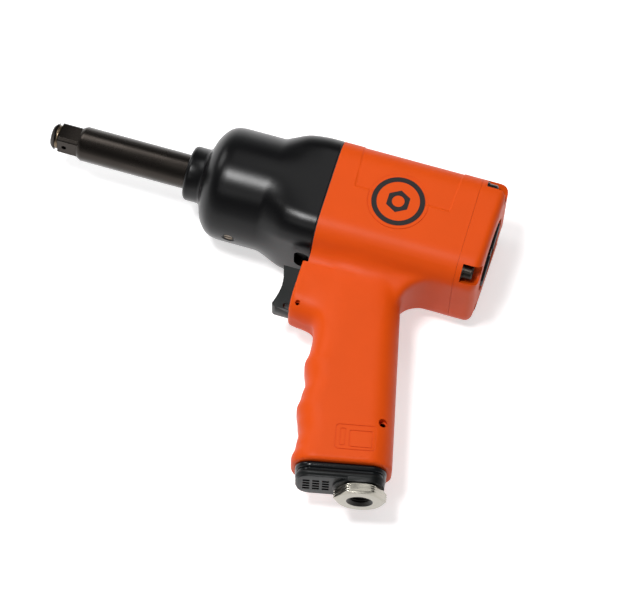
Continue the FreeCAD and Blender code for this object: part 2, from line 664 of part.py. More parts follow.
def guard_outer():
    """Orange nose round the trigger, running back into the grip."""
    nose_r = 2.5
    back = GUARD_X + 34
    hollow = V(GUARD_X + 18.5, GUARD_BOTTOM - 11, 0)
    turn_in = V(GUARD_X + 13, GUARD_BOTTOM - 1.6, 0)
    k = nose_r * (1 - math.sqrt(0.5))
    pts = [V(back, GUARD_TOP, 0), V(GUARD_X, GUARD_TOP, 0), V(GUARD_X, GUARD_BOTTOM + nose_r, 0)]
    edges = [Part.LineSegment(pts[0], pts[1]).toShape(), Part.LineSegment(pts[1], pts[2]).toShape()]
    low = V(GUARD_X + nose_r, GUARD_BOTTOM, 0)
    edges.append(Part.Arc(pts[2], V(GUARD_X + k, GUARD_BOTTOM + k, 0), low).toShape())
    edges.append(Part.LineSegment(low, turn_in).toShape())
    edges.append(Part.Arc(turn_in, V(GUARD_X + 17, GUARD_BOTTOM - 5, 0), hollow).toShape())
    corner = V(back, hollow.y, 0)
    edges.append(Part.LineSegment(hollow, corner).toShape())
    edges.append(Part.LineSegment(corner, pts[0]).toShape())
    face = Part.Face(Part.Wire(edges))
    face.translate(V(0, 0, -GUARD_HALF_Z))
    solid = face.extrude(V(0, 0, 2 * GUARD_HALF_Z))
    return solid.common(plan_slab(GUARD_X, back + 1, hollow.y - 1, GUARD_TOP + 1, GUARD_HALF_Z, nose_r))


def web_outer():
    """Hollow fillet behind the grip, under the housing."""
    bottom = -HOUSING_HALF_Y
    grip_x = GRIP_X + GRIP_REAR * math.cos(math.radians(GRIP_CANT)) + math.tan(math.radians(GRIP_CANT)) * (
        GRIP_Y + GRIP_REAR * math.sin(math.radians(GRIP_CANT)) - bottom)
    start = V(grip_x + WEB_R, bottom + 2, 0)
    low = V(grip_x + 1.6, bottom - WEB_R - 1.2, 0)
    bend = V(grip_x + 0.33 * WEB_R, bottom - 0.3 * WEB_R, 0)
    inner = [V(grip_x - 10, low.y, 0), V(grip_x - 10, start.y, 0)]
    edges = [Part.Arc(start, bend, low).toShape(), Part.LineSegment(low, inner[0]).toShape(),
             Part.LineSegment(inner[0], inner[1]).toShape(), Part.LineSegment(inner[1], start).toShape()]
    face = Part.Face(Part.Wire(edges))
    half = GRIP_HALF_Z - GRIP_CORNER_R + 6
    face.translate(V(0, 0, -half))
    return face.extrude(V(0, 0, 2 * half))


def trigger_slot():
    """Space for the trigger, open at the front."""
    half = TRIGGER_HALF_Z + GAP
    return block(GUARD_X - 1, TRIGGER_SLOT_END, TRIGGER_BOTTOM - GAP, TRIGGER_TOP + GAP, -half, half)


def make_motor_housing():
    """Moulded housing and grip in one piece, with the motor bore and the air passages."""
    body = fuse(prism(HOUSING_X, COVER_GASKET_X), grip_outer())
    body = fuse(body, guard_outer())
    body = fuse(body, web_outer())
    # the trigger nose reaches forward under the case, so it keeps clear of the flange
    keep_clear = prism(FLANGE_X - 2, HOUSING_X, HOUSING_HALF_Y + GAP, HOUSING_HALF_Z + GAP)
    body = body.cut(keep_clear)
    body = body.cut(block(FLANGE_X - 2, HOUSING_X, -HOUSING_HALF_Y - GAP, 0, -40, 40))
    body = cut(body, rod(HOUSING_X - 1, SHOULDER_X, MOTOR_R + SLIP),
               rod(SHOULDER_X - 1, COVER_GASKET_X + 1, VALVE_R + RUN))
    body = cut(body, *[rod(HOUSING_X - 1, COVER_X, BOLT_R + GAP, y, z) for y, z in bolt_places()])
    body = cut(body, trigger_slot(), rod(ROD_BUSH_X, ROD_BUSH_X + ROD_BUSH_LENGTH, ROD_BUSH_R, ROD_Y),
               rod(ROD_BUSH_X - 5, ROD_BUSH_X + ROD_BUSH_LENGTH + 9, ROD_R + GAP, ROD_Y))
    passage = fuse(grip_rod(-1, INLET_SHANK, INLET_BODY_R + SLIP, INLET_OFFSET),
                   grip_rod(INLET_SHANK - 1, PASSAGE_TOP, INLET_R, INLET_OFFSET))
    exhaust = Part.makeBox(2 * EXHAUST_HALF_U, EXHAUST_TOP + 1, 2 * EXHAUST_HALF_Z,
                           V(EXHAUST_U - EXHAUST_HALF_U, -1, -EXHAUST_HALF_Z))
    risers = [grip_rod(EXHAUST_TOP - 6, GRIP_TOP + 2, RISER_R, RISER_U, z) for z in (RISER_Z, -RISER_Z)]
    links = Part.makeBox(2 * RISER_R, 6, 2 * RISER_Z, V(RISER_U - RISER_R, EXHAUST_TOP - 6, -RISER_Z))
    pin = Part.makeCylinder(BASE_PIN_R, 4 * GRIP_HALF_Z, V(BASE_PIN_U, BASE_PIN_HEIGHT, -2 * GRIP_HALF_Z))
    body = cut(body, in_grip(passage), in_grip(exhaust), in_grip(links), in_grip(pin))
    body = cut(body, *[in_grip(riser) for riser in risers])
    pin_foot = V(TRIGGER_PIN_X, TRIGGER_PIN_Y, -2 * GUARD_HALF_Z)
    trigger_pin = Part.makeCylinder(TRIGGER_PIN_R, 4 * GUARD_HALF_Z, pin_foot)
    badge = Part.makeCylinder(BADGE_R + SLIP, 5, V(BADGE_X, BADGE_Y, HOUSING_HALF_Z - BADGE_T + BADGE_PROUD))
    return cut(body, trigger_pin, badge).removeSplitter()


def make_gasket(x0, bore_r):
    sheet = prism(x0, x0 + GASKET_T, HOUSING_HALF_Y - 0.4, HOUSING_HALF_Z - 0.4, HOUSING_CORNER_R - 0.4)
    holes = [rod(x0 - 1, x0 + GASKET_T + 1, BOLT_R + GAP, y, z) for y, z in bolt_places()]
    return cut(sheet, rod(x0 - 1, x0 + GASKET_T + 1, bore_r), *holes)


def pocket(y, z):
    """Corner pocket for one bolt head, open to the rear and to the corner."""
    r = BOLT_HEAD_R + 1.0
    far = REAR_X + 1
    round_end = rod(POCKET_X, far, r, y, z)
    angle = math.degrees(math.atan2(z, y))
    mouth = block(POCKET_X, far, 0, 20, -r, r)
    mouth.rotate(V(0, 0, 0), V(1, 0, 0), angle)
    mouth.translate(V(0, y, z))
    return round_end.fuse(mouth)


def make_rear_cover():
    """Rear cover with the four corner pockets and the recess for the dial."""
    body = prism(COVER_X, REAR_X)
    rim = [e for e in body.Edges if all(abs(v.X - REAR_X) < 0.01 for v in e.Vertexes)]
    body = body.makeFillet(COVER_EDGE_R, rim)
    recess = rod(RECESS_X, REAR_X + 1, DIAL_R + DIAL_RECESS_GAP)
    hole = rod(COVER_X - 1, RECESS_X + 1, VALVE_R + RUN)
    shanks = [rod(COVER_X - 1, POCKET_X + 1, BOLT_R + GAP, y, z) for y, z in bolt_places()]
    detent = rod(COVER_X + 0.6, RECESS_X + 1, DETENT_R + SLIP, DETENT_Y)
    return cut(body, recess, hole, detent, *shanks, *[pocket(y, z) for y, z in bolt_places()])


def make_case_bolts():
    """Four long socket-head bolts, from the corner pockets into the case flange."""
    bolts = []
    head_x = POCKET_X + BOLT_WASHER_T
    for y, z in bolt_places():
        head = rod(head_x, head_x + BOLT_HEAD_LENGTH, BOLT_HEAD_R, y, z)
        bolt = head.fuse(rod(JOINT_X - BOLT_THREAD, head_x, BOLT_R, y, z)).removeSplitter()
        bolts.append(bolt.cut(hexagon(head_x + 2, head_x + BOLT_HEAD_LENGTH + 1, 4.0, y, z)))
    return Part.makeCompound(bolts)


def make_bolt_washers():
    return Part.makeCompound([ring(POCKET_X, POCKET_X + BOLT_WASHER_T, BOLT_HEAD_R + 0.6, BOLT_R + SLIP, y, z)
                              for y, z in bolt_places()])


def hexagon(x0, x1, flats, y=0.0, z=0.0):
    """Hexagonal prism along X."""
    r = flats / math.sqrt(3)
    turns = [math.radians(60 * i) for i in range(7)]
    pts = [V(x0, y + r * math.cos(a), z + r * math.sin(a)) for a in turns]
    return Part.Face(Part.makePolygon(pts)).extrude(V(x1 - x0, 0, 0))


# ---------------------------------------------------------------- reverse dial
def make_reverse_dial():
    """Dial with a grip bar and a ridged edge, keyed to the rotary valve."""
    disc = rod(DIAL_BACK_X, DIAL_FACE_X - DIAL_BAR_T, DIAL_R)
    bar = block(DIAL_FACE_X - DIAL_BAR_T - 1, DIAL_FACE_X, -DIAL_R, DIAL_R, -DIAL_BAR_HALF, DIAL_BAR_HALF)
    bar = bar.common(rod(DIAL_BACK_X, DIAL_FACE_X, DIAL_R - 1.2))
    dial = fuse(disc, bar)
    notches = []
    for i in range(24):
        a = math.radians(15 * i)
        notches.append(rod(DIAL_BACK_X + 1.5, DIAL_FACE_X + 1, 0.9,
                           (DIAL_R + 0.2) * math.cos(a), (DIAL_R + 0.2) * math.sin(a)))
    track = ring(DIAL_BACK_X - 1, DIAL_BACK_X + 0.6, DETENT_Y + DETENT_R, DETENT_Y - DETENT_R)
    screw = fuse(rod(DIAL_BACK_X - 1, DIAL_FACE_X + 1, 2.1), rod(DIAL_FACE_X - 2.6, DIAL_FACE_X + 1, 4.1))
    return cut(dial, track, screw, *notches)


def make_reverse_valve():
    """Rotary valve: a drum with two air ports, a hub for the dial and a groove for its ring."""
    drum = rod(SHOULDER_X + GAP, RECESS_X, VALVE_R)
    drum = fuse(drum, rod(RECESS_X - 1, DIAL_BACK_X, 8.0))
    ports = [block(SHOULDER_X - 1, SHOULDER_X + 7, -3, 3, 6, 16),
             block(SHOULDER_X - 1, SHOULDER_X + 7, -3, 3, -16, -6)]
    groove = ring(COVER_X + 1.0, COVER_X + 2.8, VALVE_R + 1, VALVE_R - 1.4)
    thread = rod(DIAL_BACK_X - 9, DIAL_BACK_X + 1, 2.0)
    return cut(drum, groove, thread, *ports)


def make_reverse_valve_o_ring():
    return ring(COVER_X + 1.05, COVER_X + 2.75, VALVE_R, VALVE_R - 1.4)


def make_dial_screw():
    head = rod(DIAL_FACE_X - 2.6, DIAL_FACE_X - 0.4, 4.0)
    shank = rod(DIAL_BACK_X - 8.5, DIAL_FACE_X - 2, 2.0)
    return fuse(head, shank).cut(hexagon(DIAL_FACE_X - 1.9, DIAL_FACE_X + 1, 3.0))


def make_detent_ball():
    return Part.makeSphere(DETENT_R, V(DIAL_BACK_X + 0.55 - DETENT_R, DETENT_Y, 0))


def make_detent_spring():
    x0 = COVER_X + 0.6
    ball_x = DIAL_BACK_X + 0.55 - DETENT_R
    coil = spring(ball_x - DETENT_R - x0, DETENT_R - 0.45, 0.25, 3)
    coil.rotate(V(0, 0, 0), V(0, 1, 0), 90)
    coil.translate(V(x0, DETENT_Y, 0))
    return coil


# ---------------------------------------------------------------- trigger and throttle
def make_trigger():
    """Finger trigger: hollow front, rounded toe, a slot for its pin and a pocket for its spring."""
    toe = 1.4
    x0, x1 = TRIGGER_FRONT, TRIGGER_FRONT + TRIGGER_LENGTH
    top, bottom = TRIGGER_TOP, TRIGGER_BOTTOM
    low_front = V(x0 + 0.7, bottom + toe + 1.2, 0)
    hollow = V(x0 + TRIGGER_HOLLOW, 0.55 * top + 0.45 * bottom, 0)
    edges = [Part.LineSegment(V(x1, bottom, 0), V(x1, top, 0)).toShape(),
             Part.LineSegment(V(x1, top, 0), V(x0, top, 0)).toShape(),
             Part.Arc(V(x0, top, 0), hollow, low_front).toShape(),
             Part.Arc(low_front, V(x0 + 0.9, bottom + 0.9, 0), V(x0 + 2.2, bottom, 0)).toShape(),
             Part.LineSegment(V(x0 + 2.2, bottom, 0), V(x1, bottom, 0)).toShape()]
    face = Part.Face(Part.Wire(edges))
    face.translate(V(0, 0, -TRIGGER_HALF_Z))
    body = face.extrude(V(0, 0, 2 * TRIGGER_HALF_Z))
    body = body.common(plan_slab(x0 - 0.2, x1 + 1, bottom - 1, top + 1, TRIGGER_HALF_Z, 2.5))
    half = TRIGGER_PIN_R + 0.2
    slot = block(TRIGGER_PIN_X - TRIGGER_TRAVEL, TRIGGER_PIN_X, TRIGGER_PIN_Y - half, TRIGGER_PIN_Y + half,
                 -TRIGGER_HALF_Z - 1, TRIGGER_HALF_Z + 1)
    for x in (TRIGGER_PIN_X - TRIGGER_TRAVEL, TRIGGER_PIN_X):
        end = Part.makeCylinder(half, 4 * TRIGGER_HALF_Z, V(x, TRIGGER_PIN_Y, -2 * TRIGGER_HALF_Z))
        slot = slot.fuse(end)
    spring_pocket = rod(SPRING_X, x1 + 1, ROD_BUSH_R - 0.2, ROD_Y)
    socket = rod(ROD_X, x1 + 1, ROD_R, ROD_Y)
    return cut(body, slot, spring_pocket, socket)


def stem_x():
    """Where the throttle stem's axis crosses the rod's height."""
    cant = math.radians(GRIP_CANT)
    height = (ROD_Y - GRIP_Y) / math.cos(cant)
    return GRIP_X + INLET_OFFSET / math.cos(cant) - height * math.sin(cant)


def make_trigger_rod():
    return rod(ROD_X, stem_x() - VALVE_STEM_R - ROD_TO_STEM, ROD_R, ROD_Y)


def make_trigger_spring():
    coil = spring(SPRING_ROOM - GAP, TRIGGER_COIL_R, SPRING_WIRE_R, SPRING_TURNS)
    coil.rotate(V(0, 0, 0), V(0, 1, 0), 90)
    coil.translate(V(SPRING_X + GAP / 2, ROD_Y, 0))
    return coil


def make_trigger_pin():
    length = 2 * GUARD_HALF_Z - 2
    return Part.makeCylinder(TRIGGER_PIN_R, length, V(TRIGGER_PIN_X, TRIGGER_PIN_Y, -length / 2))


def make_rod_bushing():
    return ring(ROD_BUSH_X, ROD_BUSH_X + ROD_BUSH_LENGTH, ROD_BUSH_R, ROD_R + RUN, ROD_Y)


def make_throttle_seat():
    return in_grip(grip_ring(SEAT_HEIGHT, SEAT_HEIGHT + SEAT_T, INLET_R, SEAT_BORE_R, INLET_OFFSET))


def make_throttle_valve():
    """Tilting valve: a head that closes the seat from below and a long stem."""
    top = SEAT_HEIGHT - RUN
    head = grip_rod(top - VALVE_HEAD_T, top, VALVE_HEAD_R, INLET_OFFSET)
    stem = grip_rod(top - 1, VALVE_STEM_TOP, VALVE_STEM_R, INLET_OFFSET)
    rocker_u = INLET_OFFSET - VALVE_HEAD_R + ROCKER_INSET
    rocker = Part.makeCylinder(ROCKER_R, 2 * ROCKER_HALF, V(rocker_u, top - ROCKER_R, -ROCKER_HALF))
    return in_grip(fuse(head, stem, rocker))


def screen_top():
    return INLET_SHANK + 14.0


def make_throttle_spring():
    length = SEAT_HEIGHT - VALVE_HEAD_T - screen_top() - 2 * RUN
    coil = spring(length, THROTTLE_COIL_R, SPRING_WIRE_R, SPRING_TURNS)
    coil.rotate(V(0, 0, 0), V(1, 0, 0), -90)
    coil.translate(V(INLET_OFFSET, screen_top(), 0))
    return in_grip(coil)


# ---------------------------------------------------------------- base, inlet and exhaust
def base_plate(s0, s1, inset):
    wire = grip_section(s0, GRIP_FRONT[0][1] - inset, GRIP_REAR - inset, GRIP_HALF_Z - 1.2 - inset,
                        GRIP_CORNER_R - 2.0 - inset)
    return Part.Face(wire).extrude(V(0, s1 - s0, 0))


def exhaust_window(s0, s1):
    return Part.makeBox(2 * EXHAUST_HALF_U, s1 - s0, 2 * EXHAUST_HALF_Z,
                        V(EXHAUST_U - EXHAUST_HALF_U, s0, -EXHAUST_HALF_Z))


def make_base_gasket():
    """Black seal with one rib groove, between the grip and the base."""
    ribs = 0.2 * SEAL_T
    body = fuse(base_plate(-SEAL_T, -SEAL_T + 2 * ribs, BASE_INSET), base_plate(-2 * ribs, 0, BASE_INSET),
                base_plate(-SEAL_T, 0, BASE_INSET + SEAL_GROOVE))
    bore = grip_rod(-SEAL_T - 1, 1, INLET_BODY_R + SLIP, INLET_OFFSET)
    return in_grip(cut(body, bore, exhaust_window(-SEAL_T - 1, 1)))


def make_exhaust_base():
    """Black base with the exhaust grille and a raised collar round the inlet."""
    s1 = -SEAL_T
    s0 = s1 - BASE_T
    body = fuse(base_plate(s0, s1, BASE_INSET + 0.5), grip_rod(s0 - COLLAR_T, s1, COLLAR_R, INLET_OFFSET))
    room = base_plate(s0 - COLLAR_T, s1, BASE_INSET + 0.5)
    body = body.common(room)
    chamber = exhaust_window(s1 - BASE_T + 1.4, s1 + 1)
    holes = []
    for i in range(3):
        for j in range(4):
            u = GRILLE_FIRST_U + GRILLE_PITCH_U * i
            z = GRILLE_PITCH_Z * (j - 1.5)
            holes.append(Part.makeBox(GRILLE_HOLE_U, BASE_T + 2, GRILLE_HOLE_Z,
                                      V(u - GRILLE_HOLE_U / 2, s0 - 1, z - GRILLE_HOLE_Z / 2)))
    bore = grip_rod(s0 - COLLAR_T - 1, s1 + 1, INLET_BODY_R + SLIP, INLET_OFFSET)
    return in_grip(cut(body, chamber, bore, *holes))


def make_muffler_felt():
    side = 0.4
    return in_grip(Part.makeBox(2 * (EXHAUST_HALF_U - side), 30, 2 * (EXHAUST_HALF_Z - side),
                                V(EXHAUST_U - EXHAUST_HALF_U + side, 1.0, side - EXHAUST_HALF_Z)))


def make_inlet_bushing():
    """Hexagonal air inlet with a pipe thread, a long shank and a groove for the base pin."""
    s1 = -SEAL_T - BASE_T - COLLAR_T
    s0 = s1 - HEX_LENGTH
    r = HEX_FLATS / math.sqrt(3)
    pts = [V(INLET_OFFSET + r * math.cos(math.radians(60 * i)), s0, r * math.sin(math.radians(60 * i)))
           for i in range(7)]
    nut = Part.Face(Part.makePolygon(pts)).extrude(V(0, HEX_LENGTH, 0))
    outer = HEX_FLATS / 2 + 0.5
    slope = r - outer
    lower = Part.makeCone(outer, r, slope, V(INLET_OFFSET, s0, 0), V(0, 1, 0))
    upper = Part.makeCone(r, outer, slope, V(INLET_OFFSET, s1 - slope, 0), V(0, 1, 0))
    nut = nut.common(fuse(lower, grip_rod(s0 + slope, s1 - slope, r, INLET_OFFSET), upper))
    body = fuse(nut, grip_rod(s1 - 1, INLET_SHANK, INLET_BODY_R, INLET_OFFSET))
    thread = grip_rod(s0 - 1, s0 + THREAD_LENGTH, THREAD_R, INLET_OFFSET)
    throat = grip_rod(s0, INLET_SHANK + 1, THROAT_R, INLET_OFFSET)
    pin_groove = grip_ring(BASE_PIN_HEIGHT - BASE_PIN_R - 0.1, BASE_PIN_HEIGHT + BASE_PIN_R + 0.1,
                           INLET_BODY_R + 1, BASE_PIN_U - BASE_PIN_R - INLET_OFFSET - 0.1, INLET_OFFSET)
    ring_groove = grip_ring(8, 10.2, INLET_BODY_R + 1, INLET_BODY_R - 1.5, INLET_OFFSET)
    return in_grip(cut(body, thread, throat, pin_groove, ring_groove))


def make_inlet_o_ring():
    return in_grip(grip_ring(8.05, 10.15, INLET_BODY_R, INLET_BODY_R - 1.5, INLET_OFFSET))


def make_inlet_screen():
    """Perforated cup on top of the inlet bushing; the throttle spring stands on it."""
    cup = grip_rod(INLET_SHANK, screen_top(), INLET_R - 0.4, INLET_OFFSET)
    inside = grip_rod(INLET_SHANK - 1, screen_top() - 0.8, INLET_R - 1.1, INLET_OFFSET)
    cup = cup.cut(inside)
    for i in range(6):
        for s in (INLET_SHANK + 3.5, INLET_SHANK + 8.0):
            a = math.radians(60 * i)
            hole = Part.makeCylinder(1.1, INLET_R, V(INLET_OFFSET, s, 0), V(math.cos(a), 0, math.sin(a)))
            cup = cup.cut(hole)
    return in_grip(cup)


def make_base_pin():
    """Roll pin across the grip that locks the inlet bushing."""
    length = 2 * (GRIP_HALF_Z - 3)
    pin = Part.makeCylinder(BASE_PIN_R, length, V(BASE_PIN_U, BASE_PIN_HEIGHT, -length / 2))
    hollow = Part.makeCylinder(BASE_PIN_R - 0.7, length + 2, V(BASE_PIN_U, BASE_PIN_HEIGHT, -length / 2 - 1))
    return in_grip(pin.cut(hollow))


def make_side_badge():
    z0 = HOUSING_HALF_Z - BADGE_T + BADGE_PROUD
    return Part.makeCylinder(BADGE_R, BADGE_T, V(BADGE_X, BADGE_Y, z0))


# ---------------------------------------------------------------- all nodes
def all_nodes():
    nodes = {
        "anvil": make_anvil(),
        "socket_retainer_ring": make_socket_retainer_ring(),
        "retainer_cushion_ring": make_retainer_cushion_ring(),
        "anvil_seal": make_anvil_seal(),
        "anvil_bushing": make_anvil_bushing(),
        "thrust_washer": make_thrust_washer(),
        "hammer_case": make_hammer_case(),
        "grease_plug": make_grease_plug(),
        "hammer_cage": make_hammer_cage(),
        "front_hammer": make_hammer(FRONT_HAMMER_X, 1),
        "rear_hammer": make_hammer(REAR_HAMMER_X, -1),
        "hammer_pins": make_hammer_pins(),
        "cage_washer": make_cage_washer(),
        "case_gasket": make_gasket(JOINT_X, CAVITY_R),
        "motor_housing": make_motor_housing(),
        "front_end_plate": make_front_end_plate(),
        "rear_end_plate": make_rear_end_plate(),
        "cylinder_liner": make_cylinder_liner(),
        "rotor": make_rotor(),
        "rotor_vanes": make_rotor_vanes(),
        "alignment_pin": make_alignment_pin(),
        "wave_washer": make_wave_washer(),
        "rear_gasket": make_gasket(COVER_GASKET_X, VALVE_R + 2),
        "rear_cover": make_rear_cover(),
        "case_bolts": make_case_bolts(),
        "bolt_washers": make_bolt_washers(),
        "reverse_dial": make_reverse_dial(),
        "reverse_valve": make_reverse_valve(),
        "reverse_valve_o_ring": make_reverse_valve_o_ring(),
        "dial_screw": make_dial_screw(),
        "detent_ball": make_detent_ball(),
        "detent_spring": make_detent_spring(),
        "trigger": make_trigger(),
        "trigger_rod": make_trigger_rod(),
        "trigger_spring": make_trigger_spring(),
        "trigger_pin": make_trigger_pin(),
        "rod_bushing": make_rod_bushing(),
        "throttle_seat": make_throttle_seat(),
        "throttle_valve": make_throttle_valve(),
        "throttle_spring": make_throttle_spring(),
        "base_gasket": make_base_gasket(),
        "exhaust_base": make_exhaust_base(),
        "muffler_felt": make_muffler_felt(),
        "inlet_bushing": make_inlet_bushing(),
        "inlet_o_ring": make_inlet_o_ring(),
        "inlet_screen": make_inlet_screen(),
        "base_pin": make_base_pin(),
        "side_badge": make_side_badge(),
    }
    nodes.update(make_bearing("front_bearing", PLATE_X, FRONT_BEARING_R, FRONT_JOURNAL_R, FRONT_BALL_R,
                              FRONT_BALLS))
    nodes.update(make_bearing("rear_bearing", STACK_END - BEARING_W, REAR_BEARING_R, REAR_JOURNAL_R,
                              REAR_BALL_R, REAR_BALLS))
    return nodes


os.makedirs("parts", exist_ok=True)
for name, shape in all_nodes().items():
    shape.exportStep("parts/" + name + ".step")
    row = (name, len(shape.Solids), shape.Volume, shape.isValid())
    print("%-26s solids %2d  volume %9.1f  valid %s" % row)
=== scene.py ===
# %% [markdown]
# # An air impact wrench, piece by piece
# The wrench lies on its right side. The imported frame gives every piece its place, so the sizes
# here are read from it where it has them. Each cell first says what a piece is on the real tool,
# then makes it.

# %% Load the frame
import bpy
import bmesh
import json
import math
from mathutils import Matrix, Vector


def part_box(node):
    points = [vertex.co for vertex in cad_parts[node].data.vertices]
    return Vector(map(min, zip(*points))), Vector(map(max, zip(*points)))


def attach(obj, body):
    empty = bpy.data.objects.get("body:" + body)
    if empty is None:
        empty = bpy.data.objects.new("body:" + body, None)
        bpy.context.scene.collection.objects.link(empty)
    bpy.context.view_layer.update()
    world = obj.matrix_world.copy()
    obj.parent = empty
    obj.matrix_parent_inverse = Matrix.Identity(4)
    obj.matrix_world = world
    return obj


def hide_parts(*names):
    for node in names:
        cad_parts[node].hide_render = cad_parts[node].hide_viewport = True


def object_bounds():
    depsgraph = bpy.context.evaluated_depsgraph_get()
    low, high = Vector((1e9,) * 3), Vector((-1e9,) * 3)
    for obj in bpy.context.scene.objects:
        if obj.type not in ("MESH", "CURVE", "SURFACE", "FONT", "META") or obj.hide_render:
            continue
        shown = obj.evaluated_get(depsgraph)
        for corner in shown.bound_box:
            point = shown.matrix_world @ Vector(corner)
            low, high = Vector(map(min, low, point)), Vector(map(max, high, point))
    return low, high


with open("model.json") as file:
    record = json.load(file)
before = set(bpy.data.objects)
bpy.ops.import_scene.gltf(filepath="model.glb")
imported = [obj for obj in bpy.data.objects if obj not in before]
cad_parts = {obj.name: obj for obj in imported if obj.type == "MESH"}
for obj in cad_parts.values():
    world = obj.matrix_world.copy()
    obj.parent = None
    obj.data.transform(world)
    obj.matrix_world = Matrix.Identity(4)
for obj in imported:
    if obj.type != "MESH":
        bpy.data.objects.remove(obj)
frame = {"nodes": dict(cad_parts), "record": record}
cad_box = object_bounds()
scene = bpy.context.scene
print("nodes in the frame:", len(frame["nodes"]))

# %% [markdown]
# ## A bench in millimetres
# Blender works in metres, but a wrench is easier to think of in millimetres, and the mesh
# operators are steadier at that scale too. Every piece is shaped in millimetres and is shrunk
# once, when it is finished.

# %% Read the frame in millimetres
MM = 0.001


def extent(node):
    """Lowest and highest corner of a CAD node, in millimetres."""
    low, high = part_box(node)
    return low / MM, high / MM


case_low, case_high = extent("hammer_case")
house_low, house_high = extent("motor_housing")
cover_low, cover_high = extent("rear_cover")
anvil_low, anvil_high = extent("anvil")
trigger_low, trigger_high = extent("trigger")
HALF_Y = case_high.y
HALF_Z = case_high.z
JOINT_X = case_high.x
HOUSE_X = extent("case_gasket")[1].x
SEAM_X = house_high.x
COVER_X = cover_low.x
REAR_X = cover_high.x
print("housing section %.1f x %.1f mm" % (2 * HALF_Y, 2 * HALF_Z))

# %% [markdown]
# ## The grip's own frame
# The grip leans back, so it is drawn upright in a frame of its own and turned into place. The
# air inlet's mount in the record gives both the lean and the place.

# %% Find the grip's frame from the air inlet
INLET_DROP = 15.4        # the inlet's mouth, below the bottom of the grip
INLET_OFFSET = 10.6      # the inlet, behind the middle of the grip
inlet = [m for m in frame["record"]["mounts"] if m["name"] == "air_inlet"][0]
down = Vector(inlet["axis"]).normalized()
up = -down
back = Vector((up.y, -up.x, 0))
grip_base = Vector(inlet["pos_m"]) / MM - down * INLET_DROP - back * INLET_OFFSET
GRIP = Matrix.Translation(grip_base) @ Matrix((back, up, Vector((0, 0, 1)))).transposed().to_4x4()
print("the grip leans back %.1f degrees" % math.degrees(math.atan2(down.x, -down.y)))

# %% [markdown]
# ## Small tools used again and again
# A lathe spins an outline round the spindle, a knife rounds every hard edge a little, and a
# press fits one mesh into another with a Boolean modifier.

# %% Mesh helpers


def ease(value, edge, width):
    """Runs smoothly from 0 to 1 across an edge of a given width."""
    t = min(max((value - edge) / width + 0.5, 0), 1)
    return t * t * (3 - 2 * t)


def hard_edges(bm, angle=30.0):
    return [e for e in bm.edges if len(e.link_faces) == 2 and e.calc_face_angle(0) > math.radians(angle)]


def edges_along(bm, axis, least):
    """Edges whose ends are further apart than a given length along one axis."""
    return [e for e in bm.edges if abs(e.verts[0].co[axis] - e.verts[1].co[axis]) > least]


def round_edges(bm, edges, radius, segments, clamp=False):
    bmesh.ops.bevel(bm, geom=edges, offset=radius, offset_type="OFFSET", segments=segments, profile=0.5,
                    affect="EDGES", material=-1, clamp_overlap=clamp)


def soften(bm, width, angle=30.0, segments=3):
    """Rounds every edge sharper than the angle."""
    round_edges(bm, hard_edges(bm, angle), width, segments, clamp=True)


def slice_at(bm, place, normal):
    """Adds edges where a plane meets the mesh, and takes nothing away."""
    bmesh.ops.bisect_plane(bm, geom=bm.verts[:] + bm.edges[:] + bm.faces[:], plane_co=place, plane_no=normal)


def lathe(outline, steps=96):
    """Spins an outline of (x, radius) points round the spindle."""
    bm = bmesh.new()
    verts = [bm.verts.new((x, r, 0)) for x, r in outline]
    edges = [bm.edges.new(pair) for pair in zip(verts, verts[1:])]
    bmesh.ops.spin(bm, geom=verts + edges, cent=(0, 0, 0), axis=(1, 0, 0), angle=2 * math.pi,
                   steps=steps, use_merge=True)
    bmesh.ops.remove_doubles(bm, verts=bm.verts, dist=1e-4)
    bmesh.ops.recalc_face_normals(bm, faces=bm.faces)
    return bm


def box(low, high):
    bm = bmesh.new()
    add_box(bm, low, high)
    return bm


def add_box(bm, low, high):
    low, high = Vector(low), Vector(high)
    size = Matrix.Diagonal((high - low).to_4d())
    size[3][3] = 1
    place = Matrix.Translation((low + high) / 2) @ size
    return bmesh.ops.create_cube(bm, size=1, matrix=place)["verts"]


def add_rod(bm, start, end, radius, sides=48):
    """Solid cylinder between two points."""
    start, end = Vector(start), Vector(end)
    turn = (end - start).to_track_quat("Z", "Y").to_matrix().to_4x4()
    place = Matrix.Translation((start + end) / 2) @ turn
    return bmesh.ops.create_cone(bm, cap_ends=True, segments=sides, radius1=radius, radius2=radius,
                                 depth=(end - start).length, matrix=place)["verts"]


def rod(start, end, radius, sides=48):
    bm = bmesh.new()
    add_rod(bm, start, end, radius, sides)
    return bm


def to_object(name, bm):
    mesh = bpy.data.meshes.new(name)
    bm.to_mesh(mesh)
    bm.free()
    piece = bpy.data.objects.new(name, mesh)
    scene.collection.objects.link(piece)
    return piece


def settle(piece):
    """Applies every modifier on a piece."""
    bpy.context.view_layer.update()
    ready = piece.evaluated_get(bpy.context.evaluated_depsgraph_get())
    mesh = bpy.data.meshes.new_from_object(ready)
    old = piece.data
    piece.modifiers.clear()
    piece.data = mesh
    bpy.data.meshes.remove(old)


def take_back(*pieces):
    """Reads the first piece's mesh, then clears all the bench pieces away."""
    result = bmesh.new()
    result.from_mesh(pieces[0].data)
    for piece in pieces:
        mesh = piece.data
        bpy.data.objects.remove(piece)
        bpy.data.meshes.remove(mesh)
    return result


def press(bm, tool_bm, operation="DIFFERENCE"):
    """Cuts, joins or keeps what two meshes share, and returns the result."""
    piece = to_object("bench_piece", bm)
    tool = to_object("bench_tool", tool_bm)
    step = piece.modifiers.new("press", "BOOLEAN")
    step.operation = operation
    step.solver = "EXACT"
    step.object = tool
    settle(piece)
    return take_back(piece, tool)


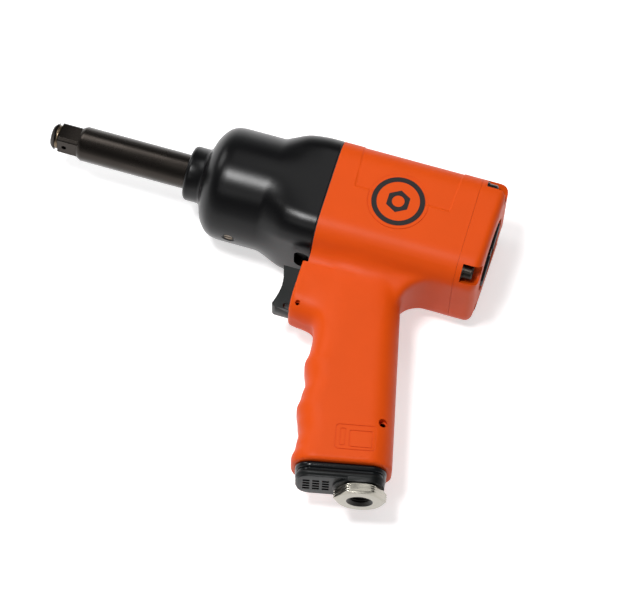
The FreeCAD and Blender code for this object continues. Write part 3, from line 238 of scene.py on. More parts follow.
def finish(name, bm, body, material, nodes=(), smooth=35.0):
    """Shades, shrinks to metres, links, parents to its body and hides the frame nodes it stands for."""
    for face in bm.faces:
        face.smooth = True
    for edge in bm.edges:
        edge.smooth = edge.calc_face_angle(0) < math.radians(smooth) if len(edge.link_faces) == 2 else True
    bmesh.ops.scale(bm, verts=bm.verts, vec=(MM, MM, MM))
    count = len(bm.faces)
    piece = to_object(name, bm)
    piece.data.materials.clear()
    piece.data.materials.append(material)
    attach(piece, body)
    if nodes:
        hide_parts(*nodes)
    print("%s: %d faces" % (name, count))
    return piece


def into_place(bm):
    """Turns a mesh that is drawn in the grip's frame into place."""
    bmesh.ops.transform(bm, matrix=GRIP, verts=bm.verts)
    return bm


# %% [markdown]
# ## Finishes
# Each finish is one Principled shader. Noise on the object's own coordinates gives the fine
# grain, so the pattern is as large as the real one and stays with the piece. What is the same
# all over is set straight on the shader.

# %% Material helper


def finish_of(name, colour, roughness, metallic=0.0, grain=900.0, grain_depth=0.0, spread=0.0,
              patches=60.0, dark=0.0, **fixed):
    """A shader with grain in its bump, and patches in its roughness and colour."""
    material = bpy.data.materials.new(name)
    material.use_nodes = True
    nodes, links = material.node_tree.nodes, material.node_tree.links
    shader = nodes["Principled BSDF"]
    shader.inputs["Metallic"].default_value = metallic
    for socket, value in fixed.items():
        shader.inputs[socket.replace("_", " ")].default_value = value
    place = nodes.new("ShaderNodeTexCoord")
    patch = nodes.new("ShaderNodeTexNoise")
    patch.inputs["Scale"].default_value = patches
    patch.inputs["Detail"].default_value = 4.0
    links.new(place.outputs["Object"], patch.inputs["Vector"])
    rough = nodes.new("ShaderNodeMapRange")
    rough.inputs["To Min"].default_value = max(roughness - spread, 0.02)
    rough.inputs["To Max"].default_value = roughness + spread
    links.new(patch.outputs["Fac"], rough.inputs["Value"])
    links.new(rough.outputs["Result"], shader.inputs["Roughness"])
    tint = nodes.new("ShaderNodeMixRGB")
    tint.inputs["Color1"].default_value = (*colour, 1)
    tint.inputs["Color2"].default_value = (*[c * (1 - dark) for c in colour], 1)
    links.new(patch.outputs["Fac"], tint.inputs["Fac"])
    links.new(tint.outputs["Color"], shader.inputs["Base Color"])
    if grain_depth:
        fine = nodes.new("ShaderNodeTexNoise")
        fine.inputs["Scale"].default_value = grain
        fine.inputs["Detail"].default_value = 2.0
        links.new(place.outputs["Object"], fine.inputs["Vector"])
        bump = nodes.new("ShaderNodeBump")
        bump.inputs["Strength"].default_value = 0.35
        bump.inputs["Distance"].default_value = grain_depth * MM
        links.new(fine.outputs["Fac"], bump.inputs["Height"])
        links.new(bump.outputs["Normal"], shader.inputs["Normal"])
    return material


# %% [markdown]
# ### The outside finishes
# The housing is glass-filled nylon with a fine sprayed grain. The case is gloss paint on cast
# metal. The spindle is black oxide over ground steel. The inlet is nickel over turned steel.

# %% Outside finishes
orange = finish_of("orange_nylon", (0.75, 0.078, 0.002), 0.46, grain=1500, grain_depth=0.05,
                   spread=0.04, dark=0.08, Specular_IOR_Level=0.16)
gloss_black = finish_of("gloss_black_paint", (0.002, 0.002, 0.0024), 0.29, grain=420, grain_depth=0.02,
                        spread=0.03, Specular_IOR_Level=0.24)
black_oxide = finish_of("black_oxide", (0.050, 0.043, 0.038), 0.27, metallic=1.0, grain=700,
                        grain_depth=0.03, spread=0.06, dark=0.35)
black_plastic = finish_of("black_plastic", (0.004, 0.005, 0.005), 0.42, grain=1800, grain_depth=0.04,
                          spread=0.05, Specular_IOR_Level=0.22)
trigger_grey = finish_of("trigger_plastic", (0.010, 0.012, 0.012), 0.38, grain=1600, grain_depth=0.03,
                         spread=0.04, Specular_IOR_Level=0.25)
rubber = finish_of("seal_rubber", (0.004, 0.005, 0.006), 0.20, grain=900, grain_depth=0.01, spread=0.04,
                   Specular_IOR_Level=0.28)
nickel = finish_of("nickel_plate", (0.38, 0.36, 0.31), 0.26, metallic=1.0, grain=800, grain_depth=0.02,
                   spread=0.06, dark=0.10)
bright_steel = finish_of("bright_steel", (0.56, 0.56, 0.57), 0.30, metallic=1.0, grain=900,
                         grain_depth=0.01, spread=0.06, dark=0.1)
ring_wire = finish_of("spring_wire", (0.16, 0.12, 0.08), 0.30, metallic=1.0, grain=900, grain_depth=0.01,
                      spread=0.06, dark=0.2)
# The thread's near-black colour is partly oiled steel and partly painted shade: it darkens the inlet's bore,
# which the lamps would light.
thread_painted_shade = finish_of("oiled_thread_painted_shade", (0.045, 0.043, 0.040), 0.45, metallic=1.0, grain=900,
                        grain_depth=0.02, spread=0.06, dark=0.3)
# Black oxide pins, painted darker still: painted shade at the bottom of their holes.
pin_painted_shade = finish_of("pin_oxide_painted_shade", (0.020, 0.018, 0.016), 0.50, metallic=1.0, grain=900, grain_depth=0.02,
                     spread=0.06, dark=0.3)
badge_dark = finish_of("badge_print", (0.010, 0.008, 0.008), 0.42, grain=1500, grain_depth=0.03, spread=0.05,
                       Specular_IOR_Level=0.3)

# %% [markdown]
# ### The finishes inside
# Pieces that the covers hide still have a finish, because the tool may be opened up.

# %% Inside finishes
steel = finish_of("machined_steel", (0.36, 0.36, 0.37), 0.36, metallic=1.0, grain=600, grain_depth=0.02,
                  spread=0.08, dark=0.15)
aluminium = finish_of("turned_aluminium", (0.66, 0.67, 0.69), 0.34, metallic=1.0, grain=700,
                      grain_depth=0.01, spread=0.06, dark=0.08)
bronze = finish_of("sintered_bronze", (0.52, 0.33, 0.13), 0.46, metallic=1.0, grain=1200,
                   grain_depth=0.03, spread=0.08, dark=0.2)
resin = finish_of("vane_resin", (0.20, 0.11, 0.05), 0.55, grain=1400, grain_depth=0.03, spread=0.05, dark=0.2)
sheet = finish_of("gasket_sheet", (0.02, 0.02, 0.02), 0.75, grain=1800, grain_depth=0.03, spread=0.05)
felt = finish_of("pressed_felt", (0.30, 0.29, 0.27), 0.95, grain=2600, grain_depth=0.3, spread=0.03, dark=0.3)
SLOT_FINISH = {
    "orange_housing": orange, "gloss_black_case": gloss_black, "black_oxide_steel": black_oxide,
    "black_plastic": black_plastic, "black_rubber": rubber, "nickel_plate": nickel,
    "bright_steel": bright_steel, "forged_steel": steel, "plate_metal": aluminium, "bronze": bronze,
    "throttle_metal": aluminium, "vane_resin": resin, "gasket_fibre": sheet, "felt": felt,
    "dark_badge": badge_dark,
}
for row in frame["record"]["subparts"]:
    node = frame["nodes"][row["node"]]
    node.data.materials.clear()
    node.data.materials.append(SLOT_FINISH[row["material_slot"]])
frame["nodes"]["bolt_washers"].data.materials[0] = black_oxide
frame["nodes"]["grease_plug"].data.materials[0] = ring_wire

# %% [markdown]
# ## The housing and grip
# On the real tool this is one moulding, so its surfaces flow into each other. One way is to
# model every fillet by hand. Here the forms are drawn as overlapping blocks, melted into one
# skin with the Remesh modifier, and smoothed where the grip meets the body, as a pattern maker
# fills a corner with wax. Crisp holes and joints are cut afterwards.

# %% Outlines of the housing
CORNER_R = 15.0
COVER_EDGE = 4.5
GRIP_HALF_Z = 17.0
GRIP_CORNER = 12.5
GRIP_REAR = 25.6
GRIP_TOP = 122.0
GRIP_FRONT = [(0, 25.9), (3.6, 26.3), (9, 24.5), (17.5, 23.5), (24.5, 24.5), (31, 25.6), (37.5, 23.8),
              (45.5, 22.1), (56, 23.5), (64, 21.2), (70, 20.4), (GRIP_TOP, 20.4)]


def grip_front(s):
    """How far the grip's front stands forward of its middle at height s."""
    for (s0, f0), (s1, f1) in zip(GRIP_FRONT, GRIP_FRONT[1:]):
        if s0 <= s <= s1:
            return f0 + (1 - math.cos(math.pi * (s - s0) / (s1 - s0))) / 2 * (f1 - f0)
    return GRIP_FRONT[-1][1]


# %% [markdown]
# The body is a long block with rounded edges, longer than the housing and its cover together,
# so that both can be cut from one flowing surface.

# %% Body block
BODY_EXTRA = 8.0


def add_body(bm):
    part = box((HOUSE_X - BODY_EXTRA, -HALF_Y, -HALF_Z), (REAR_X, HALF_Y, HALF_Z))
    round_edges(part, edges_along(part, 0, 1), CORNER_R, 14)
    rim = [e for e in part.edges if all(abs(v.co.x - REAR_X) < 1e-3 for v in e.verts)]
    round_edges(part, rim, COVER_EDGE, 6)
    merge(bm, part)


def merge(bm, part):
    """Adds one bmesh to another."""
    mesh = bpy.data.meshes.new("bench_merge")
    part.to_mesh(mesh)
    part.free()
    bm.from_mesh(mesh)
    bpy.data.meshes.remove(mesh)


# %% [markdown]
# The grip starts as an upright block with four rounded corners. It is sliced at even heights,
# and the front part of each slice slides in or out for the three fingers. Sliding, rather than
# scaling, keeps the corners equally round all the way up. Near the top the slices also spread
# out, like the fillet of a casting, so that the grip flows into the body.

# %% Grip block
SLICE = 1.5
GRIP_EDGE = 1.6
REAR_TAPER = 0.02        # the grip's back comes forward a little with height
REAR_SHIFT = 0.6         # the grip's back, behind the block's at the bottom
FILLET = 9.5


def fillet_start(half_z):
    """Height where a fillet starts that runs from an upright side into the body's round corner."""
    reach = half_z + FILLET - (HALF_Z - CORNER_R)
    return CORNER_R - HALF_Y - math.sqrt((CORNER_R + FILLET) ** 2 - reach ** 2)


def flare(height, start, most):
    """How far a fillet that starts at one height stands out at another."""
    above = min(max(height - start, 0), FILLET)
    return min(FILLET - math.sqrt(FILLET ** 2 - above ** 2), most)


SIDE_MOST = 5.0          # beyond this the fillet is inside the body's round corner


def add_grip(bm):
    widest = GRIP_FRONT[1][1]
    part = box((-widest, 0, -GRIP_HALF_Z), (GRIP_REAR, GRIP_TOP, GRIP_HALF_Z))
    round_edges(part, edges_along(part, 1, 1), GRIP_CORNER, 12)
    for i in range(1, int(GRIP_TOP / SLICE)):
        slice_at(part, (0, SLICE * i, 0), (0, 1, 0))
    for vert in part.verts:
        height = vert.co.y
        if vert.co.x < 0:
            vert.co.x += widest - grip_front(height)
        else:
            vert.co.x += REAR_SHIFT - REAR_TAPER * height
    rim = [e for e in part.edges if all(abs(v.co.y) < 1e-3 for v in e.verts)]
    round_edges(part, rim, GRIP_EDGE, 3, clamp=True)
    outward = {}
    for vert in part.verts:
        u, z = vert.co.x, vert.co.z
        core_u = min(max(u, GRIP_CORNER - grip_front(vert.co.y)), GRIP_REAR - GRIP_CORNER)
        core_z = min(max(z, GRIP_CORNER - GRIP_HALF_Z), GRIP_HALF_Z - GRIP_CORNER)
        outward[vert] = Vector((u - core_u, 0, z - core_z)).normalized()
    bmesh.ops.transform(part, matrix=GRIP, verts=part.verts)
    for vert, way in outward.items():
        side = way.z ** 4
        start = (1 - side) * (-HALF_Y - FILLET) + side * fillet_start(GRIP_HALF_Z)
        vert.co += way * flare(vert.co.y, start, (1 - side) * FILLET + side * SIDE_MOST)
    merge(bm, part)


# %% [markdown]
# The nose in front of the grip carries the trigger. Its outline is drawn flat, with the
# hollow under it as an arc, then pushed out to both sides and rounded at the front.

# %% Trigger nose
NOSE_X = house_low.x
NOSE_BOTTOM = -68.5
NOSE_ROUND = 11.5
NOSE_EDGE = 2.5
NOSE_HALF_Z = 15.0
NOSE_TOP = -26.0
NOSE_BACK = NOSE_X + 34.0


def arc(centre, radius, start, end, count):
    """Points on an arc, angles in degrees."""
    angles = [math.radians(start + (end - start) * i / count) for i in range(count + 1)]
    return [(centre[0] + radius * math.cos(a), centre[1] + radius * math.sin(a)) for a in angles]


def slab(outline, half_z):
    """Pushes a flat outline in X and Y out to both sides."""
    bm = bmesh.new()
    face = bm.faces.new([bm.verts.new((x, y, -half_z)) for x, y in outline])
    grown = bmesh.ops.extrude_face_region(bm, geom=[face])["geom"]
    top = [g for g in grown if isinstance(g, bmesh.types.BMVert)]
    bmesh.ops.translate(bm, vec=(0, 0, 2 * half_z), verts=top)
    bmesh.ops.recalc_face_normals(bm, faces=bm.faces)
    return bm


def raise_edges(bm, half_z, radius, below):
    """Rounds the long lower edges of a slab: slices it, then lifts its underside near both sides."""
    flat = half_z - radius
    for i in range(12):
        for side in (1, -1):
            slice_at(bm, (0, 0, side * (flat + radius * math.sin(math.pi / 2 * i / 12))), (0, 0, 1))
    for vert in bm.verts:
        if vert.co.y < below:
            past = min(max(abs(vert.co.z) - flat, 0), radius)
            vert.co.y += radius - math.sqrt(radius ** 2 - past ** 2)


def add_nose(bm):
    corner = arc((NOSE_X + NOSE_EDGE, NOSE_BOTTOM + NOSE_EDGE), NOSE_EDGE, 180, 270, 5)
    hollow = arc((NOSE_X + 11.0, NOSE_BOTTOM - 9.6), 8.4, 84, 8, 8)
    outline = [(NOSE_BACK, NOSE_TOP), (NOSE_X, NOSE_TOP)] + corner + hollow + [(NOSE_BACK, hollow[-1][1])]
    part = slab(outline, NOSE_HALF_Z)
    front = [e for e in part.edges if abs(e.verts[0].co.z - e.verts[1].co.z) < 1e-3
             and max(v.co.x for v in e.verts) < NOSE_X + 8.5 and len(e.link_faces) == 2
             and min(v.co.y for v in e.verts) < NOSE_TOP - 1]
    round_edges(part, front, NOSE_EDGE, 4, clamp=True)
    raise_edges(part, NOSE_HALF_Z, NOSE_ROUND, NOSE_BOTTOM + 2.6)
    for i in range(18):
        slice_at(part, (0, NOSE_TOP - 1 - i, 0), (0, 1, 0))
    for vert in part.verts:
        out = flare(vert.co.y, fillet_start(NOSE_HALF_Z), SIDE_MOST + 1)
        wider = (GRIP_HALF_Z / NOSE_HALF_Z - 1) * ease(vert.co.x, NOSE_X + 20, 28)
        vert.co.z *= 1 + wider + out / NOSE_HALF_Z
    merge(bm, part)


# %% [markdown]
# A web fills the corner behind the grip. Its edge is a hollow arc, and it gets narrower towards
# the grip, so that the corner looks like one thumb-wide fillet.

# %% Web behind the grip
WEB_R = 16.0
WEB_HALF_Z = 19.0
WEB_NARROWS = 7.0


def add_web(bm):
    height = (-HALF_Y - WEB_R - GRIP.translation.y) / GRIP[1][1]
    rear = (GRIP @ Vector((GRIP_REAR - 0.4 - REAR_TAPER * height, height, 0)))
    hollow = arc((rear.x + WEB_R, -HALF_Y - WEB_R), WEB_R, 90, 180, 16)
    outline = [(rear.x - 9.0, -HALF_Y + 4), (rear.x + WEB_R, -HALF_Y + 4)] + hollow + [
        (rear.x - 9.0, -HALF_Y - WEB_R)]
    part = slab(outline, WEB_HALF_Z)
    for i in range(20):
        slice_at(part, (0, -HALF_Y + 1 - i, 0), (0, 1, 0))
    for vert in part.verts:
        drop = min(max(-HALF_Y - vert.co.y, 0) / WEB_R, 1)
        vert.co.z *= 1 - WEB_NARROWS / WEB_HALF_Z * drop
    merge(bm, part)


# %% [markdown]
# Melting: the Remesh modifier wraps one skin round all the blocks. The voxel is small enough to
# keep the finger hollows and large enough to work with.

# %% Melt the blocks into one skin
VOXEL = 0.85


def melted_body():
    bm = bmesh.new()
    add_body(bm)
    add_grip(bm)
    add_nose(bm)
    add_web(bm)
    piece = to_object("bench_body", bm)
    melt = piece.modifiers.new("melt", "REMESH")
    melt.mode = "VOXEL"
    melt.voxel_size = VOXEL
    settle(piece)
    result = take_back(piece)
    print("melted skin:", len(result.faces), "faces")
    return result


# %% [markdown]
# Smoothing is stronger close to the line where the grip meets the body. How close a point is to
# both forms follows from the distance to a rounded rectangle, which is a short formula.

# %% Smooth the corner between grip and body


def from_rounded(a, b, half_a, half_b, radius):
    """Distance of a point from a rounded rectangle's edge, negative inside."""
    qa, qb = abs(a) - half_a + radius, abs(b) - half_b + radius
    return math.hypot(max(qa, 0), max(qb, 0)) + min(max(qa, qb), 0) - radius


def crease_distance(co):
    """How far a point is from both the body's and the grip's surface."""
    from_body = abs(from_rounded(co.y, co.z, HALF_Y, HALF_Z, CORNER_R))
    local = GRIP_INVERSE @ co
    front = grip_front(max(local.y, 0))
    middle = (GRIP_REAR - front) / 2
    half_u = (GRIP_REAR + front) / 2
    from_grip = abs(from_rounded(local.x - middle, local.z, half_u, GRIP_HALF_Z, GRIP_CORNER))
    from_nose = abs(abs(co.z) - NOSE_HALF_Z) if co.x < NOSE_BACK and co.y > NOSE_BOTTOM else 99
    return max(from_body, min(from_grip, from_nose))


GRIP_INVERSE = GRIP.inverted()


def smooth_where(bm, verts, times):
    for _ in range(times):
        bmesh.ops.smooth_vert(bm, verts=verts, factor=0.5, use_axis_x=True, use_axis_y=True, use_axis_z=True)


def smooth_body(bm):
    smooth_where(bm, bm.verts[:], 3)
    under = [v for v in bm.verts if v.co.y < -12 and v.co.x > HOUSE_X + 1]
    distance = {v: crease_distance(v.co) for v in under if v.co.y > -60}
    for reach, times in ((7.0, 16), (5.0, 16), (3.0, 14)):
        smooth_where(bm, [v for v, d in distance.items() if d < reach], times)
    nose_side = [v for v in bm.verts if NOSE_X + 6 < v.co.x < NOSE_BACK + 14 and -90 < v.co.y < -40
                 and abs(v.co.z) > 4]
    smooth_where(bm, nose_side, 36)
    web_side = [v for v in bm.verts if NOSE_BACK - 4 < v.co.x < NOSE_BACK + 42 and -52 < v.co.y < -27
                and (abs(v.co.z) > 6 or v.co.x > NOSE_BACK + 10)]
    smooth_where(bm, web_side, 30)


# %% [markdown]
# The body has shallow steps where the mould's panels meet. They are about a third of a
# millimetre deep, and are pressed in by moving points a little towards the spindle.

# %% Shallow panel steps
STEP = 0.36
PANEL_X0, PANEL_X1, PANEL_Y0 = 152.0, 205.2, 3.0
LEAN = 0.06
LEAN_Y = 16.0            # the panel's ends are upright lines that turn about this height
STEP_WIDTH = 0.6


def press_panels(bm):
    for point, normal in (((PANEL_X0, LEAN_Y, 0), (1, LEAN, 0)), ((PANEL_X1, LEAN_Y, 0), (1, -LEAN, 0)),
                          ((0, PANEL_Y0, 0), (0, 1, 0))):
        for side in (-0.5, 0.5):
            slice_at(bm, Vector(point) + Vector(normal) * STEP_WIDTH * side, normal)
    for vert in bm.verts:
        x, y, z = vert.co
        if y < -HALF_Y * 0.9 or x < HOUSE_X or x > REAR_X - 6:
            continue
        lean = -LEAN * (y - LEAN_Y)
        inside = (ease(x, PANEL_X0 + lean, STEP_WIDTH) * (1 - ease(x, PANEL_X1 - lean, STEP_WIDTH))
                  * ease(y, PANEL_Y0, STEP_WIDTH))
        if inside > 0:
            away = Vector((0, y, z)).normalized()
            vert.co -= away * STEP * inside


# %% [markdown]
# Now the crisp cuts: the front face, the motor's bore, the trigger's slot, the pin holes, the
# seat for the badge and some thin engraved lines.

# %% Cutters for the housing
MOTOR_BORE = 25.05
VALVE_BORE = 13.05
SHOULDER_X = extent("wave_washer")[1].x
PIN_R = 1.3
BASE_PIN_R = 2.3
PIN_DEPTH = 3.0
badge_low, badge_high = extent("side_badge")
BADGE = (badge_low + badge_high) / 2
BADGE_R = (badge_high.x - badge_low.x) / 2
pin_low, pin_high = extent("trigger_pin")
TRIGGER_PIN = (pin_low + pin_high) / 2
base_pin_low, base_pin_high = extent("base_pin")
BASE_PIN = (base_pin_low + base_pin_high) / 2
rod_low, rod_high = extent("trigger_rod")
LIP_TOP = -39.5
GROOVE = 0.5
GROOVE_DEPTH = 0.45
PANEL_LOW = (-4.4, 6.0)
PANEL_HIGH = (16.6, 20.0)


def flat_block(low, high, corner, z0, z1):
    """A block with rounded upright corners."""
    bm = box((low[0], low[1], z0), (high[0], high[1], z1))
    round_edges(bm, edges_along(bm, 2, 0.1), corner, 5)
    return bm


def add_frame(bm, low, high, corner):
    """Cutter for a thin engraved frame on the grip's side, in the grip's frame."""
    deep = GRIP_HALF_Z - GROOVE_DEPTH
    ring = flat_block(low, high, corner, deep, GRIP_HALF_Z + 2)
    ring = press(ring, flat_block((low[0] + GROOVE, low[1] + GROOVE), (high[0] - GROOVE, high[1] - GROOVE),
                                  corner - GROOVE / 2, deep - 1, GRIP_HALF_Z + 3))
    merge(bm, into_place(ring))


# %% [markdown]
# The moulding carries a small engraved frame low on the grip, with two plain frames inside it,
# and a thin ring round the badge.

# %% Engraved marks


def engraved_marks():
    bm = bmesh.new()
    add_frame(bm, PANEL_LOW, PANEL_HIGH, 1.8)
    add_frame(bm, (PANEL_LOW[0] + 2.4, PANEL_LOW[1] + 2.0), (PANEL_LOW[0] + 5.4, PANEL_HIGH[1] - 2.2), 0.7)
    add_frame(bm, (PANEL_LOW[0] + 7.2, PANEL_LOW[1] + 1.6), (PANEL_HIGH[0] - 1.6, PANEL_HIGH[1] - 3.0), 0.9)
    ring = rod((BADGE.x, BADGE.y, HALF_Z - GROOVE_DEPTH), (BADGE.x, BADGE.y, HALF_Z + 2), BADGE_R + 2.1, 96)
    hole = rod((BADGE.x, BADGE.y, HALF_Z - 3), (BADGE.x, BADGE.y, HALF_Z + 3), BADGE_R + 1.7, 96)
    merge(bm, press(ring, hole))
    return bm


# %% [markdown]
# The deeper cutters are gathered in one mesh and pressed in at once.

# %% Deep cutters for the housing
def housing_cutters():
    bm = bmesh.new()
    add_rod(bm, (HOUSE_X - 2, 0, 0), (SHOULDER_X, 0, 0), MOTOR_BORE, 96)
    add_box(bm, (trigger_low.x, trigger_low.y - 0.3, trigger_low.z - 0.3),
            (extent("rod_bushing")[0].x, trigger_high.y + 0.3, trigger_high.z + 0.3))
    add_rod(bm, (BADGE.x, BADGE.y, badge_low.z), (BADGE.x, BADGE.y, HALF_Z + 3), BADGE_R + 0.05, 96)
    for side in (1, -1):
        for pin, radius, top in ((TRIGGER_PIN, PIN_R, pin_high.z), (BASE_PIN, BASE_PIN_R, base_pin_high.z)):
            z0, z1 = sorted((side * (top - PIN_DEPTH), side * 40))
            add_rod(bm, (pin.x, pin.y, z0), (pin.x, pin.y, z1), radius, 32)
    return bm


def cut_housing(bm):
    keep = bmesh.new()
    add_box(keep, (HOUSE_X - 30, LIP_TOP, -60), (HOUSE_X, 60, 60))
    bm = press(bm, keep)
    bmesh.ops.recalc_face_normals(bm, faces=bm.faces)
    bm = press(bm, rod((SHOULDER_X - 2, 0, 0), (SEAM_X + 9, 0, 0), VALVE_BORE, 64))
    bm = press(bm, engraved_marks())
    return press(bm, housing_cutters())


# %% [markdown]
# The rear cover is the tail of the same skin, so its sides run on without a step. It gets the
# round recess for the dial and a pocket at each corner for a bolt head.

# %% Split off the rear cover
dial_low, dial_high = extent("reverse_dial")
DIAL_R = (dial_high.y - dial_low.y) / 2
RECESS_R = DIAL_R + 0.6
RECESS_X = dial_low.x - 0.3
washer_low, washer_high = extent("bolt_washers")
bolt_low, bolt_high = extent("case_bolts")
HEAD_R = 4.25
BOLT_Y = bolt_high.y - HEAD_R
BOLT_Z = bolt_high.z - HEAD_R
POCKET_X = washer_low.x
POCKET_R = HEAD_R + 1.0
SEAM_LINE = 0.12
SHEET_INSET = 1.5        # the gasket's edge, inside the housing's
REAR_LEAN = 0.034        # the cover is a little shorter at its lower side


def corner_signs():
    return [(sy, sz) for sy in (1, -1) for sz in (1, -1)]


def slice_off(bm, x, keep_rear):
    """Keeps one side of a plane across the spindle, and closes the cut."""
    cut = bmesh.ops.bisect_plane(bm, geom=bm.verts[:] + bm.edges[:] + bm.faces[:], plane_co=(x, 0, 0),
                                 plane_no=(1, 0, 0), clear_inner=keep_rear, clear_outer=not keep_rear)
    rim = [g for g in cut["geom_cut"] if isinstance(g, bmesh.types.BMEdge)]
    bmesh.ops.edgeloop_fill(bm, edges=rim)
    bmesh.ops.recalc_face_normals(bm, faces=bm.faces)


def cover_cutters():
    bm = bmesh.new()
    add_rod(bm, (RECESS_X, 0, 0), (REAR_X + 2, 0, 0), RECESS_R, 96)
    for sy, sz in corner_signs():
        centre = Vector((0, sy * BOLT_Y, sz * BOLT_Z))
        start, end = Vector((POCKET_X, 0, 0)) + centre, Vector((REAR_X + 2, 0, 0)) + centre
        add_rod(bm, start, end, POCKET_R, 40)
    return bm


def corner_mouths():
    """The open sides of the pockets, as blocks turned towards the corners."""
    bm = bmesh.new()
    for sy, sz in corner_signs():
        verts = add_box(bm, (POCKET_X, 0, -POCKET_R), (REAR_X + 2, 20, POCKET_R))
        turn = Matrix.Rotation(math.atan2(sz * BOLT_Z, sy * BOLT_Y), 4, "X")
        place = Matrix.Translation((0, sy * BOLT_Y, sz * BOLT_Z)) @ turn
        bmesh.ops.transform(bm, matrix=place, verts=verts)
    return bm


# %% Make the housing and the cover
skin = melted_body()
smooth_body(skin)
press_panels(skin)
tail = skin.copy()
for vert in tail.verts:
    rearward = max(vert.co.x - SEAM_X, 0) / (REAR_X - SEAM_X)
    vert.co.x -= REAR_LEAN * (HALF_Y - vert.co.y) * rearward
slice_off(skin, SEAM_X, keep_rear=False)
skin = cut_housing(skin)
slice_off(tail, SEAM_X + SEAM_LINE, keep_rear=True)
tail = press(tail, cover_cutters())
tail = press(tail, corner_mouths())
tail = press(tail, rod((COVER_X - 2, 0, 0), (RECESS_X + 1, 0, 0), VALVE_BORE, 64))
finish("housing_shell", skin, "tool_body", orange, ["motor_housing"], smooth=40)
SHEET_Y, SHEET_Z = HALF_Y - SHEET_INSET, HALF_Z - SHEET_INSET
gasket = box((SEAM_X, -SHEET_Y, -SHEET_Z), (SEAM_X + SEAM_LINE, SHEET_Y, SHEET_Z))
round_edges(gasket, edges_along(gasket, 0, SEAM_LINE / 2), CORNER_R - SHEET_INSET, 8)
gasket = press(gasket, rod((SEAM_X - 1, 0, 0), (SEAM_X + 1, 0, 0), VALVE_BORE, 64))
finish("rear_gasket_sheet", gasket, "tool_body", sheet, ["rear_gasket"])
finish("rear_cover_shell", tail, "tool_body", orange, ["rear_cover"], smooth=40)

# %% [markdown]
# The two cross pins end below the surface, so each shows as a small dark hole. Their ends are also painted
# near black, darker than black oxide, as painted shade in the holes.

# %% Cross pins
for name, node, centre, low, high in (("trigger_cross_pin", "trigger_pin", TRIGGER_PIN, pin_low, pin_high),
                                      ("base_cross_pin", "base_pin", BASE_PIN, base_pin_low, base_pin_high)):
    half = high.z - PIN_DEPTH
    pin = rod((centre.x, centre.y, -half), (centre.x, centre.y, half), (high.x - low.x) / 2, 32)
    soften(pin, 0.3, 60, 2)
    finish(name, pin, "tool_body", pin_painted_shade, [node])

# %% [markdown]
# ## The badge
# A round printed mark sits on the housing's side. This one is the builder's own: a dark ring
# round a plain hexagon nut. The orange disc under it fills the seat.

# %% Badge
RING_INNER = 0.80
NUT_FLATS = 11.5


def add_flat_ring(bm, z0, z1, outer, inner, sides=96):
    part = bmesh.new()
    place = Matrix.Translation((BADGE.x, BADGE.y, (z0 + z1) / 2))
    bmesh.ops.create_cone(part, cap_ends=True, segments=sides, radius1=outer, radius2=outer, depth=z1 - z0,
                          matrix=place)
    if inner:
        part = press(part, rod((BADGE.x, BADGE.y, z0 - 1), (BADGE.x, BADGE.y, z1 + 1), inner, 96))
    merge(bm, part)


disc = bmesh.new()
add_flat_ring(disc, badge_low.z, HALF_Z, BADGE_R, 0)
finish("badge_disc", disc, "tool_body", orange)
mark = bmesh.new()
add_flat_ring(mark, HALF_Z - 0.1, badge_high.z - 0.03, BADGE_R - 0.1, BADGE_R * RING_INNER)
add_flat_ring(mark, HALF_Z - 0.1, badge_high.z - 0.03, NUT_FLATS / math.sqrt(3), NUT_FLATS * 0.29, 6)
finish("badge_mark", mark, "tool_body", badge_dark, ["side_badge"])

# %% [markdown]
# ## The hammer case
# The case is turned at the front and square at the back. It grows ring by ring from a circle of
# edges: extrude makes the next ring, and each point is then moved to the outline's radius in its
# own direction. At the back that radius is a rounded square's, so one skin has both forms.

# %% Case outline
NOSE_R = 15.0
NOSE_LIP = 2.2
CASE_R = 31.0
NOSE_END = 71.5
BARREL_X = 87.0
FLARE_X = 107.0
FLANGE_X = 133.5
CASE_SIDES = 144


def rounded_radius(angle):
    """Radius of the flange's rounded square in one direction."""
    cy, cz = math.cos(angle), math.sin(angle)
    low, high = 0.0, 60.0
    for _ in range(30):
        middle = (low + high) / 2
        if from_rounded(middle * cy, middle * cz, HALF_Y, HALF_Z, CORNER_R) < 0:
            low = middle
        else:
            high = middle
    return low


DOME = [(NOSE_END - 1.5, 15.0), (71.3, 15.9), (72.5, 18.4), (73.9, 22.4), (76.3, 26.2), (79.0, 28.9),
        (82.1, 30.4), (85.4, 30.9), (BARREL_X + 1, CASE_R)]
FLARE = [(FLARE_X, 0.0), (108.9, 0.06), (111.8, 0.25), (114.8, 0.45), (117.8, 0.64), (120.8, 0.79),
         (124.0, 0.88), (127.3, 0.94), (130.5, 0.98), (FLANGE_X, 1.0)]


def along(points, x):
    """Smooth value at x between given points."""
    if x <= points[0][0]:
        return points[0][1]
    for i, ((x0, a), (x1, b)) in enumerate(zip(points, points[1:])):
        if x <= x1:
            before, after = points[max(i - 1, 0)], points[min(i + 2, len(points) - 1)]
            slope0 = (b - before[1]) / (x1 - before[0])
            slope1 = (after[1] - a) / (after[0] - x0)
            w, t = x1 - x0, (x - x0) / (x1 - x0)
            return ((2 * t**3 - 3 * t**2 + 1) * a + (t**3 - 2 * t**2 + t) * w * slope0
                    + (3 * t**2 - 2 * t**3) * b + (t**3 - t**2) * w * slope1)
    return points[-1][1]


def case_radius(x, square):
    return along(DOME, x) + (square - CASE_R) * along(FLARE, x)


# %% Grow the case
def case_stations():
    stations = [NOSE_END - 1.5]
    stations += [NOSE_END - 1.5 + (BARREL_X + 1 - NOSE_END + 1.5) * (i / 30) ** 1.5 for i in range(1, 31)]
    stations += [FLARE_X + (FLANGE_X - FLARE_X) * i / 22 for i in range(23)]
    return stations + [JOINT_X - 0.4]


